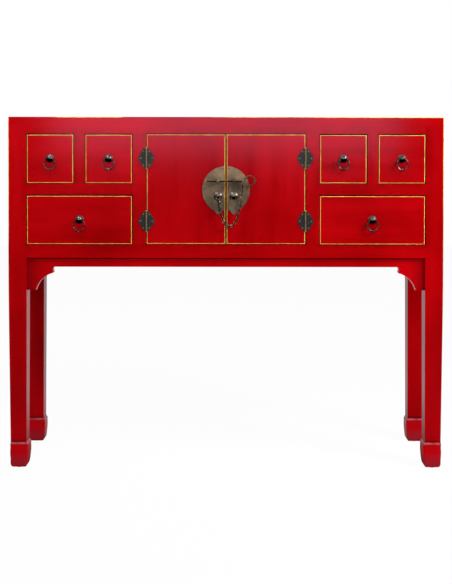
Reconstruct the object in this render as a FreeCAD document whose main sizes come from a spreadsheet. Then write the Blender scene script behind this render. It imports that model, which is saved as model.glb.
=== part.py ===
import FreeCAD, Part
import Sketcher

import math
import os

# A lacquered console table: four hoof-footed legs, a flush frame, six drawers with ring pulls, and two
# doors closed by a bolt through a round brass lock. Millimetres, +Z up, the front faces -Y.

doc = FreeCAD.newDocument("console_table")
sheet = doc.addObject("Spreadsheet::Sheet", "Sizes")

DRIVING = [
    ("table_width", 980, "overall, along X"),
    ("table_depth", 260, "overall, along Y, without the pulls"),
    ("table_height", 795, "floor to the top face"),
    ("top_thickness", 20, "top board"),
    ("leg_width", 41, "square leg beside the rails"),
    ("leg_outer_taper", 3.3, "drawn in on each outer face, down to the foot"),
    ("leg_inner_taper", 1.7, "drawn in on each inner face, down to the foot"),
    ("leg_edge", 1.5, "rounded arris of the free leg"),
    ("leg_stub", 20, "square stub tenon under the top"),
    ("leg_stub_height", 8, "stub tenon into the top board"),
    ("foot_height", 51, "hoof below its shoulder"),
    ("foot_shoulder", 6.5, "sloped step above the hoof"),
    ("foot_front_swell", 3.2, "hoof beyond the leg, front faces"),
    ("foot_outer_swell", 0.8, "hoof beyond the leg, other outer faces"),
    ("foot_inner_swell", 4, "hoof beyond the leg, inner faces"),
    ("foot_front_draw", 3.2, "hoof narrowed near the floor, front faces"),
    ("foot_outer_draw", 0.7, "hoof narrowed near the floor, other outer faces"),
    ("foot_inner_draw", 3.4, "hoof narrowed near the floor, inner faces"),
    ("foot_edge", 3, "rounded arris of the hoof"),
    ("foot_round", 3.2, "rounded bottom of the hoof"),
    ("glide_diameter", 16, "glide disc under each foot"),
    ("glide_height", 2.5, "glide disc"),
    ("rail_thickness", 24, "rails, posts and muntins"),
    ("top_rail_height", 18, "rail under the top"),
    ("drawer_row_height", 111.5, "each drawer opening"),
    ("drawer_rail_height", 26, "rail between the drawer rows"),
    ("bottom_rail_height", 30.5, "rail under the drawers and doors"),
    ("side_bay_width", 238.5, "opening between a leg and a door post"),
    ("door_post_width", 31, "post between drawers and doors"),
    ("muntin_width", 25, "upright between two small drawers"),
    ("tenon_length", 12, "tenons of the frame"),
    ("tenon_thickness", 10, "tenons of the frame"),
    ("tenon_shoulder", 5, "tenon below and above each rail's edge"),
    ("joint_play", 0.2, "room at the bottom of a mortise or groove"),
    ("panel_thickness", 8, "side and back panels"),
    ("panel_setback", 6, "panels behind the outer face"),
    ("panel_tongue", 4, "panel edge held in its groove"),
    ("board_thickness", 10, "inner floor and shelves"),
    ("partition_thickness", 12, "board beside the door compartment"),
    ("guide_height", 25, "drawer guides above the floor"),
    ("stop_height", 8, "door stops"),
    ("stop_depth", 16, "door stops"),
    ("stop_length", 80, "door stops"),
    ("apron_height", 20.7, "apron under the bottom rail"),
    ("apron_thickness", 16, "apron and brackets"),
    ("apron_setback", 6, "apron behind the frame's face"),
    ("bracket_height", 52.5, "bracket below the apron"),
    ("bracket_reach", 61, "bracket along the apron"),
    ("bracket_toe", 20, "flat end of the bracket at the leg"),
    ("bracket_nose", 11.5, "upright nose of the bracket"),
    ("bracket_lip", 2.4, "small step under the nose"),
    ("bracket_cove", 9.8, "radius of the hollow in the nose"),
    ("bracket_sweep", 54, "radius of the bracket's hollow curve"),
    ("drawer_front_thickness", 16, "drawer front"),
    ("drawer_top_gap", 2, "shadow gap over a drawer front"),
    ("drawer_side_gap", 1, "gap beside a drawer front"),
    ("drawer_play", 0.4, "running gap under a drawer"),
    ("drawer_side_thickness", 9, "drawer sides and back"),
    ("drawer_bottom_thickness", 5, "drawer bottom"),
    ("drawer_side_drop", 14, "drawer sides below the front's top edge"),
    ("drawer_back_room", 24, "free depth behind a drawer"),
    ("front_edge", 1.4, "rubbed round edge of drawer fronts and doors"),
    ("door_thickness", 18, "door"),
    ("door_gap", 1, "gap round a door"),
    ("door_meeting_gap", 2.5, "gap between the two doors"),
    ("stop_play", 0.3, "gap between a closed door and its stops"),
    ("pull_diameter", 19, "base of a ring pull"),
    ("pull_step_diameter", 15, "raised step of the base"),
    ("pull_base_height", 2.2, "base of a ring pull"),
    ("pull_step_height", 1.8, "raised step of the base"),
    ("pull_neck_diameter", 8, "neck that holds the ring"),
    ("pull_hole_stand", 8, "ring hole above the drawer face"),
    ("pull_hole_wall", 0.6, "neck in front of the ring hole"),
    ("pull_head_diameter", 14, "domed head"),
    ("pull_stand", 17, "whole pull above the drawer face, the furthest piece"),
    ("pull_raise", 1.1, "pull above the middle of its drawer"),
    ("ring_radius", 12.5, "middle of the ring's wire"),
    ("ring_wire", 3, "ring wire diameter"),
    ("ring_bead_length", 10, "bead at the foot of a ring"),
    ("ring_bead_diameter", 6, "bead at the foot of a ring"),
    ("ring_play", 0.3, "room round a wire in its hole"),
    ("hinge_height", 46, "hinge plates"),
    ("hinge_waist", 11, "notch beside the lobes, from the pin"),
    ("hinge_waist_height", 25.5, "between the notches"),
    ("hinge_side_curve", 15.5, "radius of the side lobe"),
    ("hinge_end_curve", 11.5, "radius of the end lobes"),
    ("hinge_plate", 1.5, "hinge leaf thickness"),
    ("hinge_barrel", 4, "knuckle diameter"),
    ("hinge_pin", 2, "hinge pin diameter"),
    ("hinge_pin_play", 0.15, "room round the hinge pin"),
    ("hinge_knuckle_gap", 0.4, "gap between two knuckles"),
    ("hinge_pin_head", 1.2, "pin beyond the knuckles"),
    ("hinge_face_gap", 0.3, "knuckle off the door face"),
    ("hinge_upper_drop", 54.9, "upper hinge below the top of the door opening"),
    ("hinge_lower_rise", 52.6, "lower hinge above the foot of the door opening"),
    ("lock_drop", 1.5, "lock centre below the middle of the doors"),
    ("lock_radius", 53.5, "round lock plate"),
    ("lock_flat", 46.7, "flat foot of the plate below its centre"),
    ("lock_plate", 1.5, "plate thickness"),
    ("lock_edge_gap", 2.2, "plate in from the door's edge"),
    ("bolt_raise", 20.8, "bolt above the lock centre"),
    ("bolt_diameter", 3.8, "bolt shank"),
    ("bolt_tip_diameter", 2.6, "bolt at its tip"),
    ("bolt_tip_reach", 43, "tip left of the lock centre"),
    ("bolt_shank_reach", 39.2, "shank right of the lock centre"),
    ("bolt_collar_diameter", 6, "collar before the ring"),
    ("bolt_collar_length", 3, "collar before the ring"),
    ("bolt_ring_radius", 11, "middle of the bolt's ring wire"),
    ("bolt_ring_wire", 3, "bolt ring wire diameter"),
    ("bolt_nub", 2.6, "point on the far side of the bolt's ring"),
    ("bolt_stand", 6.5, "bolt above the lock plate"),
    ("bolt_play", 0.3, "room round the bolt"),
    ("eye_offset", 18.2, "bolt eyes from the lock centre"),
    ("eye_width", 6.3, "bolt eye along the bolt"),
    ("eye_height", 10, "bolt eye across the bolt"),
    ("eye_stand", 10.4, "bolt eye above the plate"),
    ("eye_edge", 1.8, "rounded front of an eye"),
    ("boss_offset", 17.6, "pendant bosses from the lock centre"),
    ("boss_drop", 13.5, "pendant bosses below the lock centre"),
    ("boss_diameter", 19, "boss base and hood"),
    ("boss_base_height", 1.5, "boss base"),
    ("boss_neck_diameter", 7, "boss neck"),
    ("boss_hole_stand", 4.5, "pendant hole above the plate"),
    ("boss_hood_stand", 10.4, "back of the hood above the plate"),
    ("boss_hood_height", 4, "crown of the hood"),
    ("boss_hood_lip", 1.5, "hood below the pendant's axis"),
    ("pendant_loop_room", 1.5, "boss neck to the middle of the pendant's loop wire"),
    ("pendant_wire", 1.8, "pendant loop wire diameter"),
    ("pendant_thickness", 2, "pendant leaf"),
    ("pendant_width", 24, "pendant leaf"),
    ("pendant_length", 41, "from its axis to its tip"),
    ("pendant_shoulder", 18, "widest place below the axis"),
    ("pendant_top_width", 8, "leaf's top"),
    ("pendant_tip_width", 9, "leaf just above its tip"),
    ("pendant_tip_rise", 2.6, "height of the rounded tip"),
    ("pendant_upper_curve", 15, "radius of the leaf's shoulders"),
    ("pendant_lower_curve", 38, "radius of the leaf's sides"),
    ("chain_links", 32, "links between the two end rings"),
    ("chain_pitch", 5.6, "one link to the next"),
    ("chain_wire", 1.3, "link wire, across its flats"),
    ("chain_link_width", 6, "outside width of a link"),
    ("chain_slack", 0.9, "play between two links"),
    ("chain_stand", 9.2, "chain above the lock plate"),
    ("chain_ring_room", 1.6, "free room between an end ring and the shaft in it"),
]


class Size:
    """A length that carries its number and the formula of sheet cells that gives it."""

    def __init__(self, number, formula):
        self.number = number
        self.formula = formula

    @staticmethod
    def of(value):
        return value if isinstance(value, Size) else Size(float(value), str(float(value)))

    def __add__(self, other):
        other = Size.of(other)
        return Size(self.number + other.number, f"({self.formula} + {other.formula})")

    def __sub__(self, other):
        other = Size.of(other)
        return Size(self.number - other.number, f"({self.formula} - {other.formula})")

    def __mul__(self, other):
        other = Size.of(other)
        return Size(self.number * other.number, f"({self.formula} * {other.formula})")

    def __truediv__(self, other):
        other = Size.of(other)
        return Size(self.number / other.number, f"({self.formula} / {other.formula})")

    def __neg__(self):
        return Size(-self.number, f"(0 - {self.formula})")

    def __radd__(self, other):
        return Size.of(other) + self

    def __rsub__(self, other):
        return Size.of(other) - self

    def __rmul__(self, other):
        return Size.of(other) * self


def root(value):
    return Size(math.sqrt(value.number), f"sqrt({value.formula})")


for row, (alias, number, meaning) in enumerate(DRIVING, 1):
    sheet.set(f"A{row}", alias)
    sheet.set(f"B{row}", str(number))
    sheet.set(f"C{row}", meaning)
    sheet.setAlias(f"B{row}", alias)
doc.recompute()


def cell(alias):
    return Size(float(getattr(sheet, alias)), f"Sizes.{alias}")


def bind(thing, prop, value):
    thing.setExpression(prop, Size.of(value).formula)


# Heights and faces that the pieces share, from the top face down and from the front face back.

WIDTH = cell("table_width")
DEPTH = cell("table_depth")
TOP = cell("table_height")
LEG = cell("leg_width")
RAIL = cell("rail_thickness")
PLAY = cell("joint_play")

FRONT = (cell("pull_stand") - DEPTH) / 2
BACK = FRONT + DEPTH
TOP_UNDERSIDE = TOP - cell("top_thickness")
OPENING_TOP = TOP_UNDERSIDE - cell("top_rail_height")
SHELF_TOP = OPENING_TOP - cell("drawer_row_height")
LOWER_OPENING_TOP = SHELF_TOP - cell("drawer_rail_height")
FLOOR_TOP = LOWER_OPENING_TOP - cell("drawer_row_height")
RAIL_BOTTOM = FLOOR_TOP - cell("bottom_rail_height")
APRON_BOTTOM = RAIL_BOTTOM - cell("apron_height")
BRACKET_BOTTOM = APRON_BOTTOM - cell("bracket_height")

BAY = cell("side_bay_width")
POST = cell("door_post_width")
LEG_FACE = WIDTH / 2 - LEG
POST_FACE = LEG_FACE - BAY
DOOR_SIDE = POST_FACE - POST

TENON = cell("tenon_length")
TENON_THICKNESS = cell("tenon_thickness")
TENON_SHOULDER = cell("tenon_shoulder")
TENON_SETBACK = (RAIL - TENON_THICKNESS) / 2
MORTISE_DEPTH = TENON + PLAY

PANEL = cell("panel_thickness")
PANEL_SETBACK = cell("panel_setback")
TONGUE = cell("panel_tongue")
BOARD = cell("board_thickness")

# The four sides of the table, seen from outside: the left-hand corner, the turn about Z and the length.

SIDES = {
    "front": (-WIDTH / 2, FRONT, 0, WIDTH),
    "right": (WIDTH / 2, FRONT, 90, DEPTH),
    "back": (WIDTH / 2, BACK, 180, WIDTH),
    "left": (-WIDTH / 2, BACK, 270, DEPTH),
}
Z_AXIS = FreeCAD.Vector(0, 0, 1)
X_AXIS = FreeCAD.Vector(1, 0, 0)
Y_AXIS = FreeCAD.Vector(0, 1, 0)


def on_side(thing, side, along, inward, height):
    """Places a piece by its distance along a side, its depth behind the outer face and its height."""
    corner_x, corner_y, turn, _ = SIDES[side]
    cosine = round(math.cos(math.radians(turn)))
    sine = round(math.sin(math.radians(turn)))
    thing.Placement = FreeCAD.Placement(FreeCAD.Vector(), FreeCAD.Rotation(Z_AXIS, turn))
    bind(thing, "Placement.Base.x", corner_x + cosine * along - sine * inward)
    bind(thing, "Placement.Base.y", corner_y + sine * along + cosine * inward)
    bind(thing, "Placement.Base.z", height)


def on_front(thing, x, z, stand=0):
    """Stands a piece of hardware on the front face: its own Z axis points out of that face."""
    thing.Placement = FreeCAD.Placement(FreeCAD.Vector(), FreeCAD.Rotation(X_AXIS, 90))
    bind(thing, "Placement.Base.x", x)
    bind(thing, "Placement.Base.y", FRONT - stand)
    bind(thing, "Placement.Base.z", z)


def new_body(label):
    body = doc.addObject("PartDesign::Body", label)
    body.Label = label
    return body


def arc_between(start, end, radius):
    """An arc under a half circle; a positive radius turns left on the way, a negative one right."""
    chord = end - start
    middle = (start + end) / 2
    height = math.sqrt(max(radius * radius - chord.Length * chord.Length / 4, 0))
    left = FreeCAD.Vector(-chord.y, chord.x, 0).normalize()
    centre = middle + left * math.copysign(height, radius)
    first, last = (start, end) if radius > 0 else (end, start)
    angles = [math.atan2(p.y - centre.y, p.x - centre.x) for p in (first, last)]
    if angles[1] < angles[0]:
        angles[1] += 2 * math.pi
    return Part.ArcOfCircle(Part.Circle(centre, Z_AXIS, abs(radius)), *angles)


def outline(body, name, corners, plane="XY_Plane", lift=0):
    """A closed sketch through corners (x, y) or (x, y, radius of the arc that leaves the corner)."""
    sketch = body.newObject("Sketcher::SketchObject", name)
    support = next(f for f in body.Origin.OriginFeatures if f.Role == plane)
    sketch.AttachmentSupport = (support, [""])
    sketch.MapMode = "FlatFace"
    bind(sketch, "AttachmentOffset.Base.z", lift)
    points = [FreeCAD.Vector(Size.of(c[0]).number, Size.of(c[1]).number, 0) for c in corners]
    starts, ends = [], []
    for i, corner in enumerate(corners):
        start, end = points[i], points[(i + 1) % len(points)]
        radius = Size.of(corner[2]) if len(corner) > 2 else None
        if radius is None:
            edge = sketch.addGeometry(Part.LineSegment(start, end))
        else:
            edge = sketch.addGeometry(arc_between(start, end, radius.number))
            bow = sketch.addConstraint(Sketcher.Constraint("Radius", edge, abs(radius.number)))
            bind(sketch, f"Constraints[{bow}]", radius if radius.number > 0 else -radius)
        forward = radius is None or radius.number > 0
        starts.append((edge, 1 if forward else 2))
        ends.append((edge, 2 if forward else 1))
    for i, corner in enumerate(corners):
        sketch.addConstraint(Sketcher.Constraint("Coincident", *ends[i - 1], *starts[i]))
        for kind, axis, value in (("DistanceX", -2, corner[0]), ("DistanceY", -1, corner[1])):
            value = Size.of(value)
            if value.formula == Size.of(0).formula:
                sketch.addConstraint(Sketcher.Constraint("PointOnObject", *starts[i], axis))
            else:
                place = Sketcher.Constraint(kind, -1, 1, *starts[i], value.number)
                bind(sketch, f"Constraints[{sketch.addConstraint(place)}]", value)
    return sketch


def rectangle(x0, y0, x1, y1):
    return [(x0, y0), (x1, y0), (x1, y1), (x0, y1)]


def rounded_rectangle(x0, y0, x1, y1, edge):
    return [
        (x0 + edge, y0),
        (x1 - edge, y0, edge),
        (x1, y0 + edge),
        (x1, y1 - edge, edge),
        (x1 - edge, y1),
        (x0 + edge, y1, edge),
        (x0, y1 - edge),
        (x0, y0 + edge, edge),
    ]


def pad(body, sketch, length, inward=False):
    feature = body.newObject("PartDesign::Pad", "pad")
    feature.Profile = sketch
    feature.Reversed = inward
    bind(feature, "Length", length)
    return feature


def revolve(body, sketch, axis):
    feature = body.newObject("PartDesign::Revolution", "turning")
    feature.Profile = sketch
    feature.ReferenceAxis = (sketch, [axis])
    feature.Angle = 360
    return feature


def primitive(body, kind, name, sizes, at, turn=None):
    """Adds or cuts a box, cylinder, cone or torus of the body's own frame."""
    feature = body.newObject(f"PartDesign::{kind}", name)
    for prop, value in sizes.items():
        bind(feature, prop, value)
    if turn is not None:
        feature.Placement = FreeCAD.Placement(FreeCAD.Vector(), turn)
    for axis, value in zip("xyz", at):
        bind(feature, f"Placement.Base.{axis}", value)
    return feature


def block(body, kind, name, at, size):
    return primitive(body, kind, name, dict(zip(("Length", "Width", "Height"), size)), at)


def cylinder(body, kind, name, at, radius, length, turn):
    return primitive(body, kind, name, {"Radius": radius, "Height": length}, at, turn)


ALONG_X = FreeCAD.Rotation(Y_AXIS, 90)
ALONG_Y = FreeCAD.Rotation(X_AXIS, -90)


def round_top(body, feature, radius):
    """Rounds every edge of the face that looks furthest along the body's own Z axis."""
    doc.recompute()
    faces = feature.Shape.Faces
    highest = max(range(len(faces)), key=lambda i: faces[i].BoundBox.ZMin)
    fillet = body.newObject("PartDesign::Fillet", "rounded_edges")
    fillet.Base = (feature, [f"Face{highest + 1}"])
    bind(fillet, "Radius", radius)


def group(label, members):
    """Separate solids that share one node."""
    compound = doc.addObject("Part::Compound", label)
    compound.Label = label
    compound.Links = members
    return compound


def plain_board(name, low, high):
    """A straight board between its lowest and highest corners."""
    board = doc.addObject("Part::Box", name)
    for prop, axis, start, end in zip(("Length", "Width", "Height"), "xyz", low, high):
        bind(board, prop, end - start)
        bind(board, f"Placement.Base.{axis}", start)
    return board


nodes = []


# Top board: one board flush with the frame, mortised for the legs and rounded along its upper edge.

LEG_EDGE = cell("leg_edge")
STUB = cell("leg_stub")
STUB_HEIGHT = cell("leg_stub_height")
STUB_INSET = (LEG - STUB) / 2

top_board = new_body("top_board")
top_outline = outline(top_board, "plan", rounded_rectangle(Size.of(0), Size.of(0), WIDTH, DEPTH, LEG_EDGE))
round_top(top_board, pad(top_board, top_outline, cell("top_thickness")), LEG_EDGE)
for x in (STUB_INSET, WIDTH - LEG + STUB_INSET):
    for y in (STUB_INSET, DEPTH - LEG + STUB_INSET):
        block(top_board, "SubtractiveBox", "leg_mortise", (x, y, 0), (STUB, STUB, STUB_HEIGHT + PLAY))
on_side(top_board, "front", Size.of(0), Size.of(0), TOP_UNDERSIDE)
nodes.append(top_board)


# Legs: square posts, tapered below the apron brackets to a hoof foot with a sloped shoulder. The hoof is
# widest just under its shoulder and is rounded in towards the floor, most of all on its inner faces.
# Each leg is drawn in its own corner, with its outer faces on X = 0 and Y = 0.

GLIDE = cell("glide_height")
FOOT_HEIGHT = cell("foot_height")
FOOT_TOP = GLIDE + FOOT_HEIGHT
SHOULDER_TOP = FOOT_TOP + cell("foot_shoulder")
OUTER_TAPER = cell("leg_outer_taper")
INNER_TAPER = cell("leg_inner_taper")
FOOT_EDGE = cell("foot_edge")
FOOT_ROUND = cell("foot_round")
HOOF_CURVE = ((1, 0), (0.76, 0.02), (0.5, 0.2), (0.26, 0.56), (0.1, 1))
HOOF_LEVELS = [GLIDE + FOOT_HEIGHT * share for share, _ in HOOF_CURVE] + [GLIDE]


def hoof_insets(face, taper):
    """How far the hoof lies behind the square leg on one face, from the shoulder down to the floor."""
    widest = taper - cell(f"foot_{face}_swell")
    draw = cell(f"foot_{face}_draw")
    return [widest + draw * drawn for _, drawn in HOOF_CURVE] + [widest + draw + FOOT_ROUND]


HOOF_INSETS = {
    "front": hoof_insets("front", OUTER_TAPER),
    "outer": hoof_insets("outer", OUTER_TAPER),
    "inner": hoof_insets("inner", INNER_TAPER),
}
RAIL_LEVELS = {
    "top": (OPENING_TOP, TOP_UNDERSIDE),
    "drawer": (LOWER_OPENING_TOP, SHELF_TOP),
    "bottom": (RAIL_BOTTOM, FLOOR_TOP),
}
FRONT_JOINTS = ("top", "drawer", "bottom")
PANEL_JOINTS = ("top", "bottom")


def mortise_leg(leg, face, levels, grooved):
    """Cuts the mortises, and the panel groove, in the inner face that looks along the leg's own X or Y."""
    turned = face == "y"

    def cut(name, depth, setback, thickness, low, high):
        at = (LEG - depth, setback)
        size = (depth, thickness)
        if turned:
            at, size = at[::-1], size[::-1]
        block(leg, "SubtractiveBox", name, (*at, low), (*size, high - low))

    for level in levels:
        low, high = RAIL_LEVELS[level]
        low, high = low + TENON_SHOULDER, high - TENON_SHOULDER
        cut(f"{level}_mortise", MORTISE_DEPTH, TENON_SETBACK, TENON_THICKNESS, low, high)
    if grooved:
        cut("panel_groove", TONGUE + PLAY, PANEL_SETBACK, PANEL, FLOOR_TOP - TONGUE, OPENING_TOP + TONGUE)


def loft_down(body, name, levels, ruled):
    """Adds the part of a leg between sections given as height, insets on X, Y and inside, and arris."""
    sections = []
    for height, x_inset, y_inset, inner, edge in levels:
        corners = rounded_rectangle(x_inset, y_inset, LEG - inner, LEG - inner, edge)
        sections.append(outline(body, "section", corners, lift=height))
    loft = body.newObject("PartDesign::AdditiveLoft", name)
    loft.Profile = sections[0]
    loft.Sections = sections[1:]
    loft.Ruled = ruled


def leg(label, side, faces, x_levels, x_grooved, y_levels, y_grooved):
    """A leg whose two outer faces, X = 0 and Y = 0, are named in faces as front or outer."""
    body = new_body(label)
    post = [(LEG_EDGE, 0), (LEG, 0), (LEG, LEG), (0, LEG), (0, LEG_EDGE, LEG_EDGE)]
    pad(body, outline(body, "post", post, lift=BRACKET_BOTTOM), TOP_UNDERSIDE - BRACKET_BOTTOM)
    stub_at = (STUB_INSET, STUB_INSET, TOP_UNDERSIDE)
    block(body, "AdditiveBox", "stub_tenon", stub_at, (STUB, STUB, STUB_HEIGHT))
    insets = [HOOF_INSETS[face] for face in (*faces, "inner")]
    hoof = [(*section, FOOT_EDGE) for section in zip(HOOF_LEVELS, *insets)]
    top = (BRACKET_BOTTOM, Size.of(0), Size.of(0), Size.of(0), LEG_EDGE)
    shoulder = (SHOULDER_TOP, OUTER_TAPER, OUTER_TAPER, INNER_TAPER, LEG_EDGE)
    loft_down(body, "tapered_leg", [top, shoulder, hoof[0]], True)
    loft_down(body, "hoof", hoof, False)
    mortise_leg(body, "x", x_levels, x_grooved)
    mortise_leg(body, "y", y_levels, y_grooved)
    on_side(body, side, Size.of(0), Size.of(0), Size.of(0))
    nodes.append(body)


leg("leg_front_left", "front", ("outer", "front"), FRONT_JOINTS, False, PANEL_JOINTS, True)
leg("leg_front_right", "right", ("front", "outer"), PANEL_JOINTS, True, FRONT_JOINTS, False)
leg("leg_back_right", "back", ("outer", "outer"), PANEL_JOINTS, True, PANEL_JOINTS, True)
leg("leg_back_left", "left", ("outer", "outer"), PANEL_JOINTS, True, PANEL_JOINTS, True)

glides = []
for side in SIDES:
    glide = doc.addObject("Part::Cylinder", "glide")
    bind(glide, "Radius", cell("glide_diameter") / 2)
    bind(glide, "Height", GLIDE)
    on_side(glide, side, LEG / 2, LEG / 2, Size.of(0))
    glides.append(glide)
nodes.append(group("foot_glides", glides))


# Rails: tenoned between the legs. Side and back rails are grooved for a thin panel; the front rails are
# mortised for the door posts and the drawer muntins.


def tenon(body, name, at, size):
    block(body, "AdditiveBox", name, at, size)


def rail(label, side, level, along, length):
    low, high = RAIL_LEVELS[level]
    body = new_body(label)
    plan = outline(body, "plan", rectangle(Size.of(0), Size.of(0), length, RAIL))
    pad(body, plan, high - low)
    for name, start in (("left_tenon", -TENON), ("right_tenon", length)):
        at = (start, TENON_SETBACK, TENON_SHOULDER)
        tenon(body, name, at, (TENON, TENON_THICKNESS, high - low - TENON_SHOULDER * 2))
    on_side(body, side, along, Size.of(0), low)
    return body


def full_rail(label, side, level):
    return rail(label, side, level, LEG, SIDES[side][3] - LEG * 2)


def grooved_rail(label, side, level):
    low, high = RAIL_LEVELS[level]
    body = full_rail(label, side, level)
    depth = TONGUE + PLAY
    groove_at = (0, PANEL_SETBACK, 0 if level == "top" else high - low - depth)
    block(body, "SubtractiveBox", "panel_groove", groove_at, (SIDES[side][3] - LEG * 2, PANEL, depth))
    return body


def panel(label, side):
    body = new_body(label)
    length = SIDES[side][3] - LEG * 2 + TONGUE * 2
    plan = outline(body, "plan", rectangle(Size.of(0), Size.of(0), length, PANEL))
    pad(body, plan, OPENING_TOP - FLOOR_TOP + TONGUE * 2)
    on_side(body, side, LEG - TONGUE, PANEL_SETBACK, FLOOR_TOP - TONGUE)
    return body


MUNTIN = cell("muntin_width")
SMALL_BAY = (BAY - MUNTIN) / 2
POST_STARTS = (BAY, WIDTH - LEG * 2 - BAY - POST)
MUNTIN_STARTS = (SMALL_BAY, WIDTH - LEG * 2 - SMALL_BAY - MUNTIN)

top_rail = full_rail("top_rail_front", "front", "top")
bottom_rail = full_rail("bottom_rail_front", "front", "bottom")


def upright_mortise(body, start, width, low):
    at = (start + TENON_SHOULDER, TENON_SETBACK, low)
    block(body, "SubtractiveBox", "mortise", at, (width - TENON_SHOULDER * 2, TENON_THICKNESS, MORTISE_DEPTH))


for start in POST_STARTS:
    upright_mortise(top_rail, start, POST, Size.of(0))
    upright_mortise(bottom_rail, start, POST, cell("bottom_rail_height") - MORTISE_DEPTH)
for start in MUNTIN_STARTS:
    upright_mortise(top_rail, start, MUNTIN, Size.of(0))
nodes += [top_rail, bottom_rail]

drawer_rails = [
    rail("drawer_rail_left", "front", "drawer", LEG, BAY),
    rail("drawer_rail_right", "front", "drawer", WIDTH - LEG - BAY, BAY),
]
for drawer_rail in drawer_rails:
    upright_mortise(drawer_rail, SMALL_BAY, MUNTIN, cell("drawer_rail_height") - MORTISE_DEPTH)
nodes.append(group("drawer_rails", drawer_rails))


def upright(label, start, width, low, high):
    """A post or muntin with a tenon at its head and its foot."""
    body = new_body(label)
    pad(body, outline(body, "plan", rectangle(Size.of(0), Size.of(0), width, RAIL)), high - low)
    for name, base in (("foot_tenon", -TENON), ("head_tenon", high - low)):
        at = (TENON_SHOULDER, TENON_SETBACK, base)
        tenon(body, name, at, (width - TENON_SHOULDER * 2, TENON_THICKNESS, TENON))
    on_side(body, "front", LEG + start, Size.of(0), low)
    return body


posts = [upright("door_post", start, POST, FLOOR_TOP, OPENING_TOP) for start in POST_STARTS]
for post, mortise_x in zip(posts, (Size.of(0), POST - MORTISE_DEPTH)):
    mortise_low = LOWER_OPENING_TOP + TENON_SHOULDER - FLOOR_TOP
    mortise_size = (MORTISE_DEPTH, TENON_THICKNESS, cell("drawer_rail_height") - TENON_SHOULDER * 2)
    block(post, "SubtractiveBox", "rail_mortise", (mortise_x, TENON_SETBACK, mortise_low), mortise_size)
nodes.append(group("door_posts", posts))
muntins = [upright("muntin", start, MUNTIN, SHELF_TOP, OPENING_TOP) for start in MUNTIN_STARTS]
nodes.append(group("drawer_muntins", muntins))



def rail_pair(side):
    return [grooved_rail(f"{side}_{level}_rail", side, level) for level in PANEL_JOINTS]


nodes.append(group("side_rails", rail_pair("left") + rail_pair("right")))
nodes.append(group("back_rails", rail_pair("back")))
nodes.append(group("side_panels", [panel(f"{side}_panel", side) for side in ("left", "right")]))
nodes.append(panel("back_panel", "back"))


# Inside: a floor, a shelf under each pair of small drawers, partitions beside the door compartment,
# guide strips along the drawers and stops behind the doors.

INNER_FRONT = FRONT + RAIL
INNER_BACK = BACK - RAIL
floor_low = (-LEG_FACE, INNER_FRONT, FLOOR_TOP - BOARD)
nodes.append(plain_board("bottom_board", floor_low, (LEG_FACE, INNER_BACK, FLOOR_TOP)))


def pair(name, near, far, low, high):
    """Two boards alike, left and right of the middle, between two distances from it and two far corners."""
    return [
        plain_board(name, (-far, *low), (-near, *high)),
        plain_board(name, (near, *low), (far, *high)),
    ]


PARTITION_INNER = POST_FACE - cell("partition_thickness")
PANEL_INNER = WIDTH / 2 - PANEL_SETBACK - PANEL
BAY_MIDDLE = POST_FACE + BAY / 2
GUIDE = cell("guide_height")

shelf_corners = ((INNER_FRONT, SHELF_TOP - BOARD), (INNER_BACK, SHELF_TOP))
nodes.append(group("drawer_shelves", pair("shelf", POST_FACE, LEG_FACE, *shelf_corners)))
partition_corners = ((INNER_FRONT, FLOOR_TOP), (INNER_BACK, TOP_UNDERSIDE))
nodes.append(group("partitions", pair("partition", PARTITION_INNER, POST_FACE, *partition_corners)))

guides = []
for foot, level in ((FLOOR_TOP, FLOOR_TOP), (SHELF_TOP - BOARD, SHELF_TOP)):
    corners = ((FRONT + LEG, foot), (BACK - LEG, level + GUIDE))
    guides += pair("side_guide", LEG_FACE, PANEL_INNER, *corners)
corners = ((INNER_FRONT, SHELF_TOP), (INNER_BACK, SHELF_TOP + GUIDE))
guides += pair("middle_guide", BAY_MIDDLE - MUNTIN / 2, BAY_MIDDLE + MUNTIN / 2, *corners)
STOP_FRONT = FRONT + cell("door_thickness") + cell("stop_play")
STOP_BACK = STOP_FRONT + cell("stop_depth")
STOP_HALF = cell("stop_length") / 2
for low in (FLOOR_TOP, OPENING_TOP - cell("stop_height")):
    high = low + cell("stop_height")
    guides.append(plain_board("door_stop", (-STOP_HALF, STOP_FRONT, low), (STOP_HALF, STOP_BACK, high)))
nodes.append(group("guides_and_stops", guides))


# Apron and brackets: set back under the bottom rail. A bracket has a stepped nose with a small hollow
# and a long hollow curve down to the leg.

APRON_THICKNESS = cell("apron_thickness")
APRON_SETBACK = cell("apron_setback")
apron = new_body("apron_front")
apron_plan = rectangle(Size.of(0), Size.of(0), WIDTH - LEG * 2, APRON_THICKNESS)
pad(apron, outline(apron, "plan", apron_plan), cell("apron_height"))
on_side(apron, "front", LEG, APRON_SETBACK, APRON_BOTTOM)
nodes.append(apron)


def bracket(label, hand):
    """The spandrel beside one leg; hand is 1 where it reaches to the right, -1 to the left."""
    body = new_body(label)
    height = cell("bracket_height")
    reach = cell("bracket_reach")
    nose = cell("bracket_nose")
    lip = cell("bracket_lip")
    face = [
        (0, 0),
        (0, -height),
        (hand * cell("bracket_toe"), -height, -hand * cell("bracket_sweep")),
        (hand * (reach - lip), -(nose + lip)),
        (hand * (reach - lip / 2), -nose, -hand * cell("bracket_cove")),
        (hand * reach, 0),
    ]
    pad(body, outline(body, "face", face), APRON_THICKNESS, inward=True)
    on_front(body, -hand * LEG_FACE, APRON_BOTTOM, -APRON_SETBACK)
    return body


nodes.append(group("apron_brackets", [bracket("bracket_left", 1), bracket("bracket_right", -1)]))


# Drawers: a flush front with a rubbed round edge, and a plain box of two sides, a back and a bottom.
# A ring hangs in a hole through the neck of each turned pull.

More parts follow.
